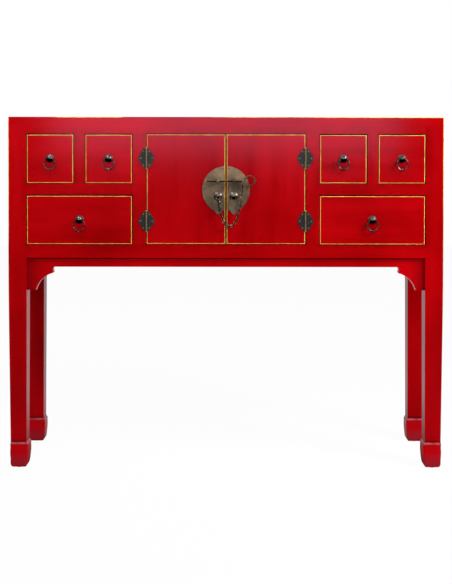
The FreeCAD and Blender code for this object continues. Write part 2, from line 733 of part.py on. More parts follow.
DRAWER_FRONT = cell("drawer_front_thickness")
DRAWER_GAP = cell("drawer_side_gap")
DRAWER_PLAY = cell("drawer_play")
DRAWER_SIDE = cell("drawer_side_thickness")
DRAWER_BOTTOM = cell("drawer_bottom_thickness")
DRAWER_HEIGHT = cell("drawer_row_height") - cell("drawer_top_gap") - DRAWER_PLAY
DRAWER_BACK = INNER_BACK - cell("drawer_back_room")
FRONT_EDGE = cell("front_edge")

RING_RADIUS = cell("ring_radius")
RING_WIRE = cell("ring_wire") / 2
PULL_HOLE_STAND = cell("pull_hole_stand")


def loop_hole(neck, loop, wire):
    """Radius of a straight hole through a neck that lets a round loop of wire turn in it."""
    return wire + loop - root(loop * loop - neck * neck) + cell("ring_play")


def dome_radius(half_width, rise):
    return (half_width * half_width + rise * rise) / (rise * 2)


def pull_boss(label, x, z):
    body = new_body(label)
    base = cell("pull_diameter") / 2
    step = cell("pull_step_diameter") / 2
    neck = cell("pull_neck_diameter") / 2
    head = cell("pull_head_diameter") / 2
    base_top = cell("pull_base_height")
    step_top = base_top + cell("pull_step_height")
    hole = loop_hole(neck, RING_RADIUS, RING_WIRE)
    head_back = PULL_HOLE_STAND + hole + cell("pull_hole_wall")
    flare_end = head_back + (head - neck)
    crown = cell("pull_stand") - flare_end
    profile = [
        (0, 0),
        (base, 0),
        (base, base_top / 2),
        (step + base_top / 2, base_top),
        (step, base_top),
        (neck, step_top),
        (neck, head_back),
        (head, flare_end, dome_radius(head, crown)),
        (0, cell("pull_stand")),
    ]
    revolve(body, outline(body, "profile", profile, plane="XZ_Plane"), "V_Axis")
    cylinder(body, "SubtractiveCylinder", "ring_hole", (-neck, 0, PULL_HOLE_STAND), hole, neck * 2, ALONG_X)
    on_front(body, x, z)
    nodes.append(body)


def pull_ring(label, x, z):
    body = new_body(label)
    torus = {"Radius1": RING_RADIUS, "Radius2": RING_WIRE}
    primitive(body, "AdditiveTorus", "wire", torus, (0, -RING_RADIUS, 0))
    bead_half = cell("ring_bead_length") / 2
    bead = [(-bead_half, 0), (bead_half, 0), (0, cell("ring_bead_diameter") / 2)]
    bead_sketch = outline(body, "bead", bead)
    bind(bead_sketch, "AttachmentOffset.Base.y", -RING_RADIUS * 2)
    revolve(body, bead_sketch, "H_Axis")
    on_front(body, x, z, PULL_HOLE_STAND)
    nodes.append(body)


def drawer(name, left, right, bottom):
    """One drawer in the opening between two edges, standing on the level below it."""
    x0 = left + DRAWER_GAP
    x1 = right - DRAWER_GAP
    z0 = bottom + DRAWER_PLAY
    front = new_body(f"drawer_front_{name}")
    face = outline(front, "face", rectangle(Size.of(0), Size.of(0), x1 - x0, DRAWER_HEIGHT))
    round_top(front, pad(front, face, DRAWER_FRONT, inward=True), FRONT_EDGE)
    on_front(front, x0, z0)
    nodes.append(front)
    y0 = FRONT + DRAWER_FRONT
    side_top = z0 + DRAWER_HEIGHT - cell("drawer_side_drop")
    inner_left = x0 + DRAWER_SIDE
    inner_right = x1 - DRAWER_SIDE
    back_front = DRAWER_BACK - DRAWER_SIDE
    boards = [
        plain_board("drawer_side", (x0, y0, z0), (inner_left, DRAWER_BACK, side_top)),
        plain_board("drawer_side", (inner_right, y0, z0), (x1, DRAWER_BACK, side_top)),
        plain_board("drawer_back", (inner_left, back_front, z0), (inner_right, DRAWER_BACK, side_top)),
        plain_board("drawer_bottom", (inner_left, y0, z0), (inner_right, back_front, z0 + DRAWER_BOTTOM)),
    ]
    nodes.append(group(f"drawer_box_{name}", boards))
    x = (x0 + x1) / 2
    z = z0 + DRAWER_HEIGHT / 2 + cell("pull_raise")
    pull_boss(f"pull_boss_{name}", x, z)
    pull_ring(f"pull_ring_{name}", x, z)


drawer("upper_left_outer", -LEG_FACE, -LEG_FACE + SMALL_BAY, SHELF_TOP)
drawer("upper_left_inner", -POST_FACE - SMALL_BAY, -POST_FACE, SHELF_TOP)
drawer("upper_right_inner", POST_FACE, POST_FACE + SMALL_BAY, SHELF_TOP)
drawer("upper_right_outer", LEG_FACE - SMALL_BAY, LEG_FACE, SHELF_TOP)
drawer("lower_left", -LEG_FACE, -POST_FACE, FLOOR_TOP)
drawer("lower_right", POST_FACE, LEG_FACE, FLOOR_TOP)


# Doors: flush boards that meet in the middle, each on two face-mounted hinges with four-lobed plates.
# The pin stands in front of the gap beside the door, so that the door swings clear of its post.

DOOR_GAP = cell("door_gap")
DOOR_INNER = cell("door_meeting_gap") / 2
DOOR_OUTER = DOOR_SIDE - DOOR_GAP
HANDS = {"left": -1, "right": 1}
HINGE_X = DOOR_SIDE - DOOR_GAP / 2
HINGE_HALF = cell("hinge_height") / 2
HINGE_PLATE = cell("hinge_plate")
BARREL = cell("hinge_barrel") / 2
PIN_STAND = BARREL + cell("hinge_face_gap")
HINGE_LEVELS = (OPENING_TOP - cell("hinge_upper_drop"), FLOOR_TOP + cell("hinge_lower_rise"))
KNUCKLE_GAP = cell("hinge_knuckle_gap") / 2
KNUCKLE_BREAK = HINGE_HALF / 3
DOOR_KNUCKLES = [(-KNUCKLE_BREAK + KNUCKLE_GAP, KNUCKLE_BREAK - KNUCKLE_GAP)]
FRAME_KNUCKLES = [(-HINGE_HALF, -KNUCKLE_BREAK - KNUCKLE_GAP), (KNUCKLE_BREAK + KNUCKLE_GAP, HINGE_HALF)]


def hinge_leaf(label, x, z, hand, knuckles):
    """Half of a four-lobed plate with its knuckles; hand is 1 where the leaf lies to the right of the pin."""
    body = new_body(label)
    waist = hand * cell("hinge_waist")
    waist_half = cell("hinge_waist_height") / 2
    side_curve = hand * cell("hinge_side_curve")
    end_curve = hand * cell("hinge_end_curve")
    inner = hand * PIN_STAND
    plate = [
        (inner, -HINGE_HALF, end_curve),
        (waist, -waist_half, side_curve),
        (waist, waist_half, end_curve),
        (inner, HINGE_HALF),
    ]
    pad(body, outline(body, "plate", plate), HINGE_PLATE)
    for low, high in knuckles:
        tab_x = Size.of(0) if hand > 0 else -PIN_STAND
        block(body, "AdditiveBox", "tab", (tab_x, low, 0), (PIN_STAND, high - low, HINGE_PLATE))
        cylinder(body, "AdditiveCylinder", "knuckle", (0, low, PIN_STAND), BARREL, high - low, ALONG_Y)
    bore = cell("hinge_pin") / 2 + cell("hinge_pin_play")
    cylinder(body, "SubtractiveCylinder", "bore", (0, -HINGE_HALF, PIN_STAND), bore, HINGE_HALF * 2, ALONG_Y)
    on_front(body, x, z)
    return body


def hinge_pin(label, x, z):
    body = new_body(label)
    radius = cell("hinge_pin") / 2
    end = HINGE_HALF + cell("hinge_pin_head")
    shape = [
        (0, -end),
        (BARREL * 0.6, -end),
        (BARREL, -HINGE_HALF),
        (radius, -HINGE_HALF),
        (radius, HINGE_HALF),
        (BARREL, HINGE_HALF),
        (BARREL * 0.6, end),
        (0, end),
    ]
    revolve(body, outline(body, "profile", shape), "V_Axis")
    on_front(body, x, z, PIN_STAND)
    return body


frame_leaves = []
pins = []
for side, hand in HANDS.items():
    door = new_body(f"door_{side}")
    x_low = DOOR_INNER if hand > 0 else -DOOR_OUTER
    width = DOOR_OUTER - DOOR_INNER
    height = OPENING_TOP - FLOOR_TOP - DOOR_GAP * 2
    face = outline(door, "face", rectangle(Size.of(0), Size.of(0), width, height))
    round_top(door, pad(door, face, cell("door_thickness"), inward=True), FRONT_EDGE)
    on_front(door, x_low, FLOOR_TOP + DOOR_GAP)
    nodes.append(door)
    door_leaves = []
    for z in HINGE_LEVELS:
        frame_leaves.append(hinge_leaf("frame_leaf", hand * HINGE_X, z, hand, FRAME_KNUCKLES))
        door_leaves.append(hinge_leaf("door_leaf", hand * HINGE_X, z, -hand, DOOR_KNUCKLES))
        pins.append(hinge_pin("hinge_pin", hand * HINGE_X, z))
    nodes.append(group(f"hinge_leaves_door_{side}", door_leaves))
nodes.append(group("hinge_leaves_frame", frame_leaves))
nodes.append(group("hinge_pins", pins))


# Lock: a round brass plate in two halves, one on each door. A bolt passes a closed eye on the left door and
# lies in an open-fronted eye on the right door. Two hooded bosses carry leaf-shaped pendants.

LOCK_Z = (OPENING_TOP + FLOOR_TOP) / 2 - cell("lock_drop")
LOCK_PLATE = cell("lock_plate")
BOLT_Z = LOCK_Z + cell("bolt_raise")
BOLT = cell("bolt_diameter") / 2
BOLT_STAND = cell("bolt_stand")
BOSS_Z = LOCK_Z - cell("boss_drop")
BOSS_NECK = cell("boss_neck_diameter") / 2
BOSS_HOLE_STAND = cell("boss_hole_stand")
LOOP_RADIUS = BOSS_NECK + cell("pendant_loop_room")
LOOP_WIRE = cell("pendant_wire") / 2


def lock_plate(label, hand):
    body = new_body(label)
    radius = cell("lock_radius")
    flat = cell("lock_flat")
    inner = DOOR_INNER + cell("lock_edge_gap")
    face = [
        (hand * inner, -flat),
        (hand * root(radius * radius - flat * flat), -flat, hand * radius),
        (hand * inner, root(radius * radius - inner * inner)),
    ]
    pad(body, outline(body, "face", face), LOCK_PLATE)
    on_front(body, 0, LOCK_Z)
    nodes.append(body)


def bolt_eye(label, hand, open_front):
    body = new_body(label)
    half_width = cell("eye_width") / 2
    half_height = cell("eye_height") / 2
    corner = half_width * 0.9
    stand = cell("eye_stand")
    face = rounded_rectangle(-half_width, -half_height, half_width, half_height, corner)
    round_top(body, pad(body, outline(body, "face", face), stand), cell("eye_edge"))
    bore = BOLT + cell("bolt_play")
    cylinder(body, "SubtractiveCylinder", "bore", (-half_width, 0, BOLT_STAND), bore, half_width * 2, ALONG_X)
    if open_front:
        slot_at = (-half_width, -bore, BOLT_STAND)
        block(body, "SubtractiveBox", "slot", slot_at, (half_width * 2, bore * 2, stand - BOLT_STAND))
    on_front(body, hand * cell("eye_offset"), BOLT_Z, LOCK_PLATE)
    return body


def hooded_boss(label, hand):
    body = new_body(label)
    radius = cell("boss_diameter") / 2
    base_top = cell("boss_base_height")
    hood = cell("boss_hood_stand")
    rise = cell("boss_hood_height")
    profile = [
        (0, 0),
        (radius, 0),
        (radius, base_top / 2),
        (radius - base_top / 2, base_top),
        (BOSS_NECK, base_top),
        (BOSS_NECK, hood),
        (radius, hood, dome_radius(radius, rise)),
        (0, hood + rise),
    ]
    revolve(body, outline(body, "profile", profile, plane="XZ_Plane"), "V_Axis")
    hole = loop_hole(BOSS_NECK, LOOP_RADIUS, LOOP_WIRE)
    hole_at = (-BOSS_NECK, 0, BOSS_HOLE_STAND)
    cylinder(body, "SubtractiveCylinder", "pendant_hole", hole_at, hole, BOSS_NECK * 2, ALONG_X)
    lip = cell("boss_hood_lip")
    block(body, "SubtractiveBox", "open_foot", (-radius, -radius, hood), (radius * 2, radius - lip, rise))
    on_front(body, hand * cell("boss_offset"), BOSS_Z, LOCK_PLATE)
    return body


def pendant(label, hand):
    body = new_body(label)
    loop = {"Radius1": LOOP_RADIUS, "Radius2": LOOP_WIRE}
    primitive(body, "AdditiveTorus", "loop", loop, (0, -LOOP_RADIUS, 0))
    half = cell("pendant_width") / 2
    shoulder = cell("pendant_shoulder")
    top = LOOP_RADIUS * 2 - LOOP_WIRE * 2
    top_half = cell("pendant_top_width") / 2
    tip_half = cell("pendant_tip_width") / 2
    tip_rise = cell("pendant_tip_rise")
    tip_top = cell("pendant_length") - tip_rise
    upper = cell("pendant_upper_curve")
    lower = cell("pendant_lower_curve")
    leaf = [
        (-tip_half, -tip_top, dome_radius(tip_half, tip_rise)),
        (tip_half, -tip_top, lower),
        (half, -shoulder, upper),
        (top_half, -top),
        (-top_half, -top, upper),
        (-half, -shoulder, lower),
    ]
    thickness = cell("pendant_thickness")
    pad(body, outline(body, "leaf", leaf, lift=-thickness / 2), thickness)
    on_front(body, hand * cell("boss_offset"), BOSS_Z, LOCK_PLATE + BOSS_HOLE_STAND)
    nodes.append(body)


for side, hand in HANDS.items():
    lock_plate(f"lock_plate_{side}", hand)
    studs = [bolt_eye("bolt_eye", hand, side == "right"), hooded_boss("boss", hand)]
    nodes.append(group(f"lock_studs_{side}", studs))
    pendant(f"pendant_{side}", hand)

bolt = new_body("bolt")
TIP_X = -cell("bolt_tip_reach")
TAPER_X = -(cell("eye_offset") + cell("eye_width"))
SHANK_X = cell("bolt_shank_reach")
COLLAR = cell("bolt_collar_diameter") / 2
COLLAR_END = SHANK_X + cell("bolt_collar_length")
BOLT_RING = cell("bolt_ring_radius")
BOLT_RING_WIRE = cell("bolt_ring_wire") / 2
shank = [
    (TIP_X, 0),
    (COLLAR_END, 0),
    (COLLAR_END, BOLT),
    (COLLAR_END - COLLAR + BOLT, COLLAR),
    (SHANK_X, COLLAR),
    (SHANK_X, BOLT),
    (TAPER_X, BOLT),
    (TIP_X, cell("bolt_tip_diameter") / 2),
]
revolve(bolt, outline(bolt, "shank", shank), "H_Axis")
bolt_torus = {"Radius1": BOLT_RING, "Radius2": BOLT_RING_WIRE}
primitive(bolt, "AdditiveTorus", "ring", bolt_torus, (COLLAR_END + BOLT_RING, 0, 0))
nub = {
    "Radius1": BOLT_RING_WIRE * 1.4,
    "Radius2": BOLT_RING_WIRE * 0.3,
    "Height": BOLT_RING_WIRE + cell("bolt_nub"),
}
primitive(bolt, "AdditiveCone", "nub", nub, (COLLAR_END + BOLT_RING * 2, 0, 0), ALONG_X)
on_front(bolt, 0, BOLT_Z, LOCK_PLATE + BOLT_STAND)
nodes.append(bolt)


# Chain: bent links that hang in a catenary from a ring round the left boss to a ring round the bolt's shank.
# Each link is turned a quarter about the chain against the one before it.

LINK_WIRE = cell("chain_wire").number / 2
LINK_CORNER = LINK_WIRE / math.cos(math.pi / 6)
SLACK = cell("chain_slack").number
PITCH = cell("chain_pitch").number
LINKS = int(cell("chain_links").number)
LOOSE = cell("ring_play").number


def wire_loop(length, width):
    """A closed loop of six-sided wire in the XY plane, measured on the middle of the wire."""
    turn = width / 2
    half = (length - width) / 2
    corner = FreeCAD.Vector
    arcs = [
        Part.Arc(corner(half, -turn), corner(half + turn, 0), corner(half, turn)).toShape(),
        Part.Arc(corner(-half, turn), corner(-half - turn, 0), corner(-half, -turn)).toShape(),
    ]
    if half > 0:
        arcs.insert(1, Part.LineSegment(corner(half, turn), corner(-half, turn)).toShape())
        arcs.append(Part.LineSegment(corner(-half, -turn), corner(half, -turn)).toShape())
    section = []
    for step in range(7):
        angle = math.pi * step / 3
        out = LINK_CORNER * math.cos(angle)
        section.append(corner(half, -turn + out, LINK_CORNER * math.sin(angle)))
    return Part.Wire(arcs).makePipeShell([Part.makePolygon(section)], True, False)


def placed(loop, middle, along, across):
    """A copy of a loop with its X axis along one direction and its Y axis near another."""
    along = FreeCAD.Vector(along).normalize()
    normal = along.cross(across).normalize()
    across = normal.cross(along)
    turned = loop.copy()
    matrix = FreeCAD.Matrix(
        along.x, across.x, normal.x, middle.x,
        along.y, across.y, normal.y, middle.y,
        along.z, across.z, normal.z, middle.z,
        0, 0, 0, 1,
    )
    turned.Placement = FreeCAD.Placement(matrix)
    return turned


def catenary(start, end, length, count):
    """Points at even lengths along a chain that hangs between two points of one upright plane."""
    span = end.x - start.x
    rise = end.z - start.z
    reach = math.sqrt(length * length - rise * rise)
    low, high = span / 40, span * 40
    for _ in range(80):
        scale = (low + high) / 2
        if 2 * scale * math.sinh(span / (2 * scale)) > reach:
            low = scale
        else:
            high = scale
    lowest = span / 2 - scale * math.atanh(rise / length)
    first = scale * math.sinh(-lowest / scale)
    points = []
    for step in range(count + 1):
        x = lowest + scale * math.asinh((first + length * step / count) / scale)
        drop = scale * (math.cosh((x - lowest) / scale) - math.cosh(lowest / scale))
        points.append(FreeCAD.Vector(start.x + x, start.y, start.z + drop))
    return points


CHAIN_Y = (FRONT - LOCK_PLATE - cell("chain_stand")).number
BOLT_Y = (FRONT - LOCK_PLATE - BOLT_STAND).number
RING_ROOM = cell("chain_ring_room").number + LINK_CORNER
NECK_RING = BOSS_NECK.number + RING_ROOM
SHANK_RING = BOLT.number + RING_ROOM
hook = LINK_WIRE + SLACK / 2
neck_x = -cell("boss_offset").number
neck_sag = NECK_RING - LINK_CORNER - BOSS_NECK.number - LOOSE
neck_middle = FreeCAD.Vector(neck_x, CHAIN_Y, BOSS_Z.number - neck_sag)
shank_point = FreeCAD.Vector(SHANK_X.number - LINK_CORNER - LOOSE, BOLT_Y, BOLT_Z.number)
shank_sag = SHANK_RING - LINK_CORNER - BOLT.number - LOOSE
ring_lean = (BOLT_Y - CHAIN_Y) / (SHANK_RING + shank_sag)
ring_down = FreeCAD.Vector(0, -ring_lean, -math.sqrt(1 - ring_lean * ring_lean))
shank_middle = shank_point + ring_down * shank_sag
chain_start = neck_middle - Z_AXIS * (NECK_RING - hook)
chain_end = shank_middle + ring_down * SHANK_RING + Z_AXIS * hook

link = wire_loop(PITCH + LINK_WIRE * 2 + SLACK, cell("chain_link_width").number - LINK_WIRE * 2)
loops = [placed(wire_loop(NECK_RING * 2, NECK_RING * 2), neck_middle, X_AXIS, Z_AXIS)]
joints = catenary(chain_start, chain_end, PITCH * LINKS, LINKS)
for number, (upper, lower) in enumerate(zip(joints, joints[1:])):
    run = (lower - upper).normalize()
    aside = run.cross(Y_AXIS)
    across = aside if number % 2 else Y_AXIS
    loops.append(placed(link, (upper + lower) / 2, run, across))
loops.append(placed(wire_loop(SHANK_RING * 2, SHANK_RING * 2), shank_middle, ring_down, Y_AXIS))
chain = doc.addObject("Part::Feature", "chain")
chain.Label = "chain"
chain.Shape = Part.Compound(loops)
nodes.append(chain)


# Every feature has to be sound before any piece is written.

doc.recompute()
for thing in doc.Objects:
    if "Invalid" in thing.State or "Error" in thing.State:
        raise RuntimeError(f"{thing.Label} did not build: {thing.State}")
for node in nodes:
    if node.Shape.isNull() or not node.Shape.isValid():
        raise RuntimeError(f"{node.Label} has no sound shape")

os.makedirs("parts", exist_ok=True)
for node in nodes:
    node.Shape.exportStep(f"parts/{node.Label}.step")
print(len(nodes), "pieces written")
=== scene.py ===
import math

import bmesh
import bpy
import numpy as np
from mathutils import Matrix, Vector


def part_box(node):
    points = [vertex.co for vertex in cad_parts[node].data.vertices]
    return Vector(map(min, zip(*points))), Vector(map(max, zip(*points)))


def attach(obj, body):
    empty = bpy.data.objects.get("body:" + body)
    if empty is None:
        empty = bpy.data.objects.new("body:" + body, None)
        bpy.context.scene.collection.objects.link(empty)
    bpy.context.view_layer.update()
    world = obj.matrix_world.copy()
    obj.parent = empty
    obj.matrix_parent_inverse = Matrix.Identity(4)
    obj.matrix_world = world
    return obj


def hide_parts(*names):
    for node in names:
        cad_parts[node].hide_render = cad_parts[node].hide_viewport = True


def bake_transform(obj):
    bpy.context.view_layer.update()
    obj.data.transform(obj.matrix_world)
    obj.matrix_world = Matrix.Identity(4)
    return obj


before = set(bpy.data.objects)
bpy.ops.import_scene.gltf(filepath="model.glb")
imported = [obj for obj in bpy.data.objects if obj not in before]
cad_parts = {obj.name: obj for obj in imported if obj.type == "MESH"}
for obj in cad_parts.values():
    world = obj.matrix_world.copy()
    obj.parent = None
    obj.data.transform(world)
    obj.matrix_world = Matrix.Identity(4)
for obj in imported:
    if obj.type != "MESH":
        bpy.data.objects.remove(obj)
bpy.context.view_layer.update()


# The studio is a white room that is dark behind the camera, with a wide scrim above the camera, a key light
# on each side and a fill from behind. The camera stands straight before the table, a little under its top,
# and is shifted down to show the feet.

CAMERA_PLACE = (0.0, -2.4025, 0.692)
CAMERA_PITCH = math.radians(-1.05)
CAMERA_ROLL = 0.0014
CAMERA_LENS = 62.53
CAMERA_SHIFT = -0.1894


class Tone:
    """A socket of a node tree; sums and products of tones add the nodes that work them out."""

    def __init__(self, tree, socket=None):
        self.tree = tree
        self.socket = socket

    def node(self, kind, settings, sockets, out=0):
        made = self.tree.nodes.new("ShaderNode" + kind)
        for name, value in settings.items():
            setattr(made, name, value)
        for name, value in sockets.items():
            if isinstance(value, Tone):
                self.tree.links.new(value.socket, made.inputs[name])
            else:
                made.inputs[name].default_value = value
        return Tone(self.tree, made.outputs[out])

    def math(self, operation, *others):
        values = dict(enumerate((self, *others)))
        return self.node("Math", {"operation": operation}, values)

    def __add__(self, other):
        return self.math("ADD", other)

    def __sub__(self, other):
        return self.math("SUBTRACT", other)

    def __mul__(self, other):
        return self.math("MULTIPLY", other)

    def __rsub__(self, other):
        return (self * -1) + other

    __radd__ = __add__
    __rmul__ = __mul__

    def least(self, other):
        return self.math("MINIMUM", other)

    def most(self, other):
        return self.math("MAXIMUM", other)

    def rise(self, low, high):
        """0 below low, 1 above high, with a soft step between them."""
        values = {"Value": self, "From Min": low, "From Max": high}
        return self.node("MapRange", {"interpolation_type": "SMOOTHSTEP"}, values)

    def apart(self):
        """The x, y and z of a place or a direction."""
        outs = self.node("SeparateXYZ", {}, {"Vector": self}).socket.node.outputs
        return [Tone(self.tree, out) for out in outs]

    def blend(self, low, high):
        """A colour between two, by this tone."""
        low, high = [c if isinstance(c, Tone) else (*c, 1) for c in (low, high)]
        return self.node("Mix", {"data_type": "RGBA"}, {0: self, 6: low, 7: high}, 2)

    def end(self, kind):
        """Joins a shader to the output of its tree."""
        made = self.tree.nodes.new("ShaderNodeOutput" + kind)
        self.tree.links.new(self.socket, made.inputs["Surface"])


def empty_tree(owner):
    owner.use_nodes = True
    owner.node_tree.nodes.clear()
    return Tone(owner.node_tree)


scene = bpy.context.scene
scene.view_settings.view_transform = "Standard"


def ray_is(tones, kind):
    return tones.node("LightPath", {}, {}, f"Is {kind} Ray")


def seen_through_lens(tones):
    return ray_is(tones, "Camera").most(ray_is(tones, "Transmission"))


PAPER_WHITE = (1, 1, 1, 1)
ROOM_WHITE = (1, 0.985, 0.97, 1)
ROOM_LIGHT = 0.28
WALL_WHITE = (0.6, 0.6, 0.6)
DARK_END = (0.012, 0.012, 0.012)
WALLS_START = (-0.75, 0.1)
CEILING_START = (0.25, 0.75)

world = bpy.data.worlds.new("studio_room")
scene.world = world
room = empty_tree(world)
_, backward, upward = room.node("TexCoord", {}, {}, "Object").apart()
white_walls = backward.rise(*WALLS_START).most(upward.rise(*CEILING_START)).blend(DARK_END, WALL_WHITE)
soft_room = room.node("Background", {}, {"Color": ROOM_WHITE, "Strength": ROOM_LIGHT})
paper_room = room.node("Background", {}, {"Color": PAPER_WHITE, "Strength": 1.0})
mirrored_room = room.node("Background", {}, {"Color": white_walls, "Strength": 1.0})
lit_room = room.node("MixShader", {}, {0: seen_through_lens(room), 1: soft_room, 2: paper_room})
whole_room = room.node("MixShader", {}, {0: ray_is(room, "Glossy"), 1: lit_room, 2: mirrored_room})
whole_room.end("World")

FLOOR_REACH = 6.0
FLOOR_GREY = (0.86, 0.86, 0.86, 1)
FLOOR_GLOW = 0.96
PALE_FLOOR_START = (-0.2, 0.7)

floor_mesh = bpy.data.meshes.new("floor")
floor_corners = [(x * FLOOR_REACH, y * FLOOR_REACH, 0) for x, y in ((-1, -1), (1, -1), (1, 1), (-1, 1))]
floor_mesh.from_pydata(floor_corners, [], [(0, 1, 2, 3)])
floor = bpy.data.objects.new("floor", floor_mesh)
scene.collection.objects.link(floor)
floor_paint = bpy.data.materials.new("floor_paint")
paint = empty_tree(floor_paint)
_, inward, _ = paint.node("TexCoord", {}, {}, "Object").apart()
pale_end = inward.rise(*PALE_FLOOR_START).blend(DARK_END, WALL_WHITE)
matt_floor = paint.node("BsdfDiffuse", {}, {"Color": FLOOR_GREY})
glowing_floor = paint.node("Emission", {}, {"Color": PAPER_WHITE, "Strength": 1.0})
mirrored_floor = paint.node("Emission", {}, {"Color": pale_end, "Strength": 1.0})
glow = seen_through_lens(paint) * FLOOR_GLOW
lit_floor = paint.node("MixShader", {}, {0: glow, 1: matt_floor, 2: glowing_floor})
whole_floor = paint.node("MixShader", {}, {0: ray_is(paint, "Glossy"), 1: lit_floor, 2: mirrored_floor})
whole_floor.end("Material")
floor_mesh.materials.append(floor_paint)


def soft_box(name, place, aim, width, height, power):
    lamp = bpy.data.lights.new(name, "AREA")
    lamp.shape = "RECTANGLE"
    lamp.size = width
    lamp.size_y = height
    lamp.energy = power
    box = bpy.data.objects.new(name, lamp)
    scene.collection.objects.link(box)
    box.location = place
    box.rotation_euler = (Vector(aim) - Vector(place)).to_track_quat("-Z", "Y").to_euler()


soft_box("camera_scrim", (0.0, -2.6, 1.45), aim=(0, 0, 1.3), width=1.62, height=1.4, power=25.5)
soft_box("left_key", (-0.45, -0.5, 1.3), aim=(-0.2, 0, 0.6), width=0.2, height=0.2, power=4.2)
soft_box("right_key", (1.1, -0.65, 1.25), aim=(0.3, 0, 0.55), width=0.3, height=0.3, power=18)
soft_box("back_fill", (0.0, 2.4, 2.8), aim=(0, 0, 0.5), width=3.0, height=2.0, power=30)

lens = bpy.data.cameras.new("camera")
lens.lens = CAMERA_LENS
lens.shift_y = CAMERA_SHIFT
camera = bpy.data.objects.new("camera", lens)
scene.collection.objects.link(camera)
camera.location = CAMERA_PLACE
level = Matrix.Rotation(math.radians(90) + CAMERA_PITCH, 3, "X")
camera.rotation_euler = (level @ Matrix.Rotation(CAMERA_ROLL, 3, "Z")).to_euler()
scene.camera = camera


# The frame is of wood: top board, legs, rails, posts, apron and brackets, joined with mortise and tenon and
# sprayed with red lacquer. The colour is rubbed through to gold in stretches along the outer arrises. Shade
# is painted into the joints and corners, painted light brightens the apron, and the hooves are painted
# lighter above and darker below, with a painted highlight on the step above them.

RED_DEEP = (0.2, 0.0, 0.0004)
RED_BRIGHT = (0.4, 0.0, 0.0012)
RED_SHADE = (0.02, 0.0006, 0.0006)
# The next three are painted light and shade: a pale pink painted highlight for the hoof shoulders, a
# brighter red painted on the hoof bulges and the apron, and a darker red painted on the lower hooves.
RED_SHEEN = (0.44, 0.12, 0.14)
RED_PAINTED_LIGHT = (0.55, 0.0004, 0.004)
RED_HOOF_SHADE = (0.29, 0.0095, 0.017)
GOLD_PALE = (0.98, 0.62, 0.12)
GOLD_DEEP = (0.8, 0.4, 0.05)
LACQUER_SHINE = 0.2
LACQUER_GLAZE = (1, 0.6, 1, 1)

low_corner, high_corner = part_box("top_board")
SIDE_FACE = high_corner.x
FRONT_FACE = low_corner.y
TOP_FACE = high_corner.z


class Finish(Tone):
    """A material being made: object coordinates, clouds, and the shader that they feed."""

    def __init__(self, name, **steady):
        self.material = bpy.data.materials.new(name)
        self.material.use_nodes = True
        super().__init__(self.material.node_tree)
        self.shader = self.tree.nodes["Principled BSDF"]
        for socket, value in steady.items():
            self.shader.inputs[socket.replace("_", " ")].default_value = value
        self.place = self.node("TexCoord", {}, {}, "Object")
        self.x, self.y, self.z = self.place.apart()

    def cloud(self, scale, detail=2.0, stretch=None, rough=0.5):
        place = self.place
        if stretch:
            place = self.node("Mapping", {}, {"Vector": place, "Scale": stretch})
        sockets = {"Vector": place, "Scale": scale, "Detail": detail, "Roughness": rough}
        return self.node("TexNoise", {}, sockets)

    def feed(self, **tones):
        for socket, tone in tones.items():
            self.tree.links.new(tone.socket, self.shader.inputs[socket.replace("_", " ")])

    def relief(self, height, depth, strength):
        sockets = {"Height": height, "Distance": depth, "Strength": strength}
        self.feed(Normal=self.node("Bump", {}, sockets))


def drawn_out(along, share):
    """The scale of a cloud that is drawn out along one axis."""
    return tuple(share if axis == along else 1.0 for axis in "xyz")


def lacquer(name, along, gold_of=None, layers=()):
    """Red lacquer, rubbed down along the grain. gold_of gives the tone of gold on a rubbed or lined edge.
    Each layer, such as painted shade in a joint or a painted highlight, is a function that gives its tone,
    and a colour."""
    finish = Finish(name, Specular_IOR_Level=LACQUER_SHINE, Specular_Tint=LACQUER_GLAZE)
    broad = finish.cloud(4.2, 3.0).rise(0.3, 0.7)
    brushed = finish.cloud(26.0, 4.0, drawn_out(along, 0.12), 0.6).rise(0.25, 0.75)
    red = (broad * 0.55 + brushed * 0.45).blend(RED_DEEP, RED_BRIGHT)
    gloss = 0.11 + brushed * 0.04 + broad * 0.02
    if gold_of:
        gold_line = gold_of(finish)
        gold = finish.cloud(140.0, 2.0).rise(0.3, 0.7).blend(GOLD_DEEP, GOLD_PALE)
        red = gold_line.blend(red, gold)
        gloss = gloss + gold_line * 0.16
    for tone_of, colour in layers:
        red = tone_of(finish).blend(red, colour)
    finish.feed(Base_Color=red, Roughness=gloss)
    waves = finish.cloud(14.0, 1.0) + finish.cloud(60.0, 1.0) * 0.05
    finish.relief(waves, depth=0.0006, strength=0.2)
    return finish.material


RAGGED = 0.0012
UPPER_RUB = (0.0027, 0.0012)
CORNER_RUB = (0.0024, 0.001)
LEFT_RUN_MIDDLE = -0.31
LEFT_RUN_REACH = (0.1, 0.05)
RIGHT_RUN_STARTS = ((-0.1, 0.02), (0.2, 0.35))
CORNER_RUN = (0.52, 0.74)


def rubbed_arrises(finish):
    """Gold where hands and cloths wear the top edge, in two stretches, and the outer corners of the front
    legs, most of all high up."""
    beside = SIDE_FACE - finish.x.math("ABSOLUTE")
    ahead = finish.y - FRONT_FACE
    above = TOP_FACE - finish.z
    patches = finish.cloud(11.0, 3.0, rough=0.6)
    ragged = finish.cloud(60.0, 3.0) * RAGGED
    upper_edge = (above.most(ahead) + ragged).rise(*UPPER_RUB)
    left_run = (finish.x - LEFT_RUN_MIDDLE).math("ABSOLUTE").rise(*LEFT_RUN_REACH)
    half_worn, full_worn = (finish.x.rise(*start) * 0.5 for start in RIGHT_RUN_STARTS)
    upper_wear = (left_run.most(half_worn + full_worn) + patches * 0.9).rise(0.75, 1.1)
    corner_edge = (beside.most(ahead) + ragged).rise(*CORNER_RUB)
    corner_high = finish.z.rise(*CORNER_RUN) * 0.65 + 0.35
    corner_wear = (corner_high + patches * 0.8).rise(0.62, 1.05)
    return (upper_edge * upper_wear).most(corner_edge * corner_wear)


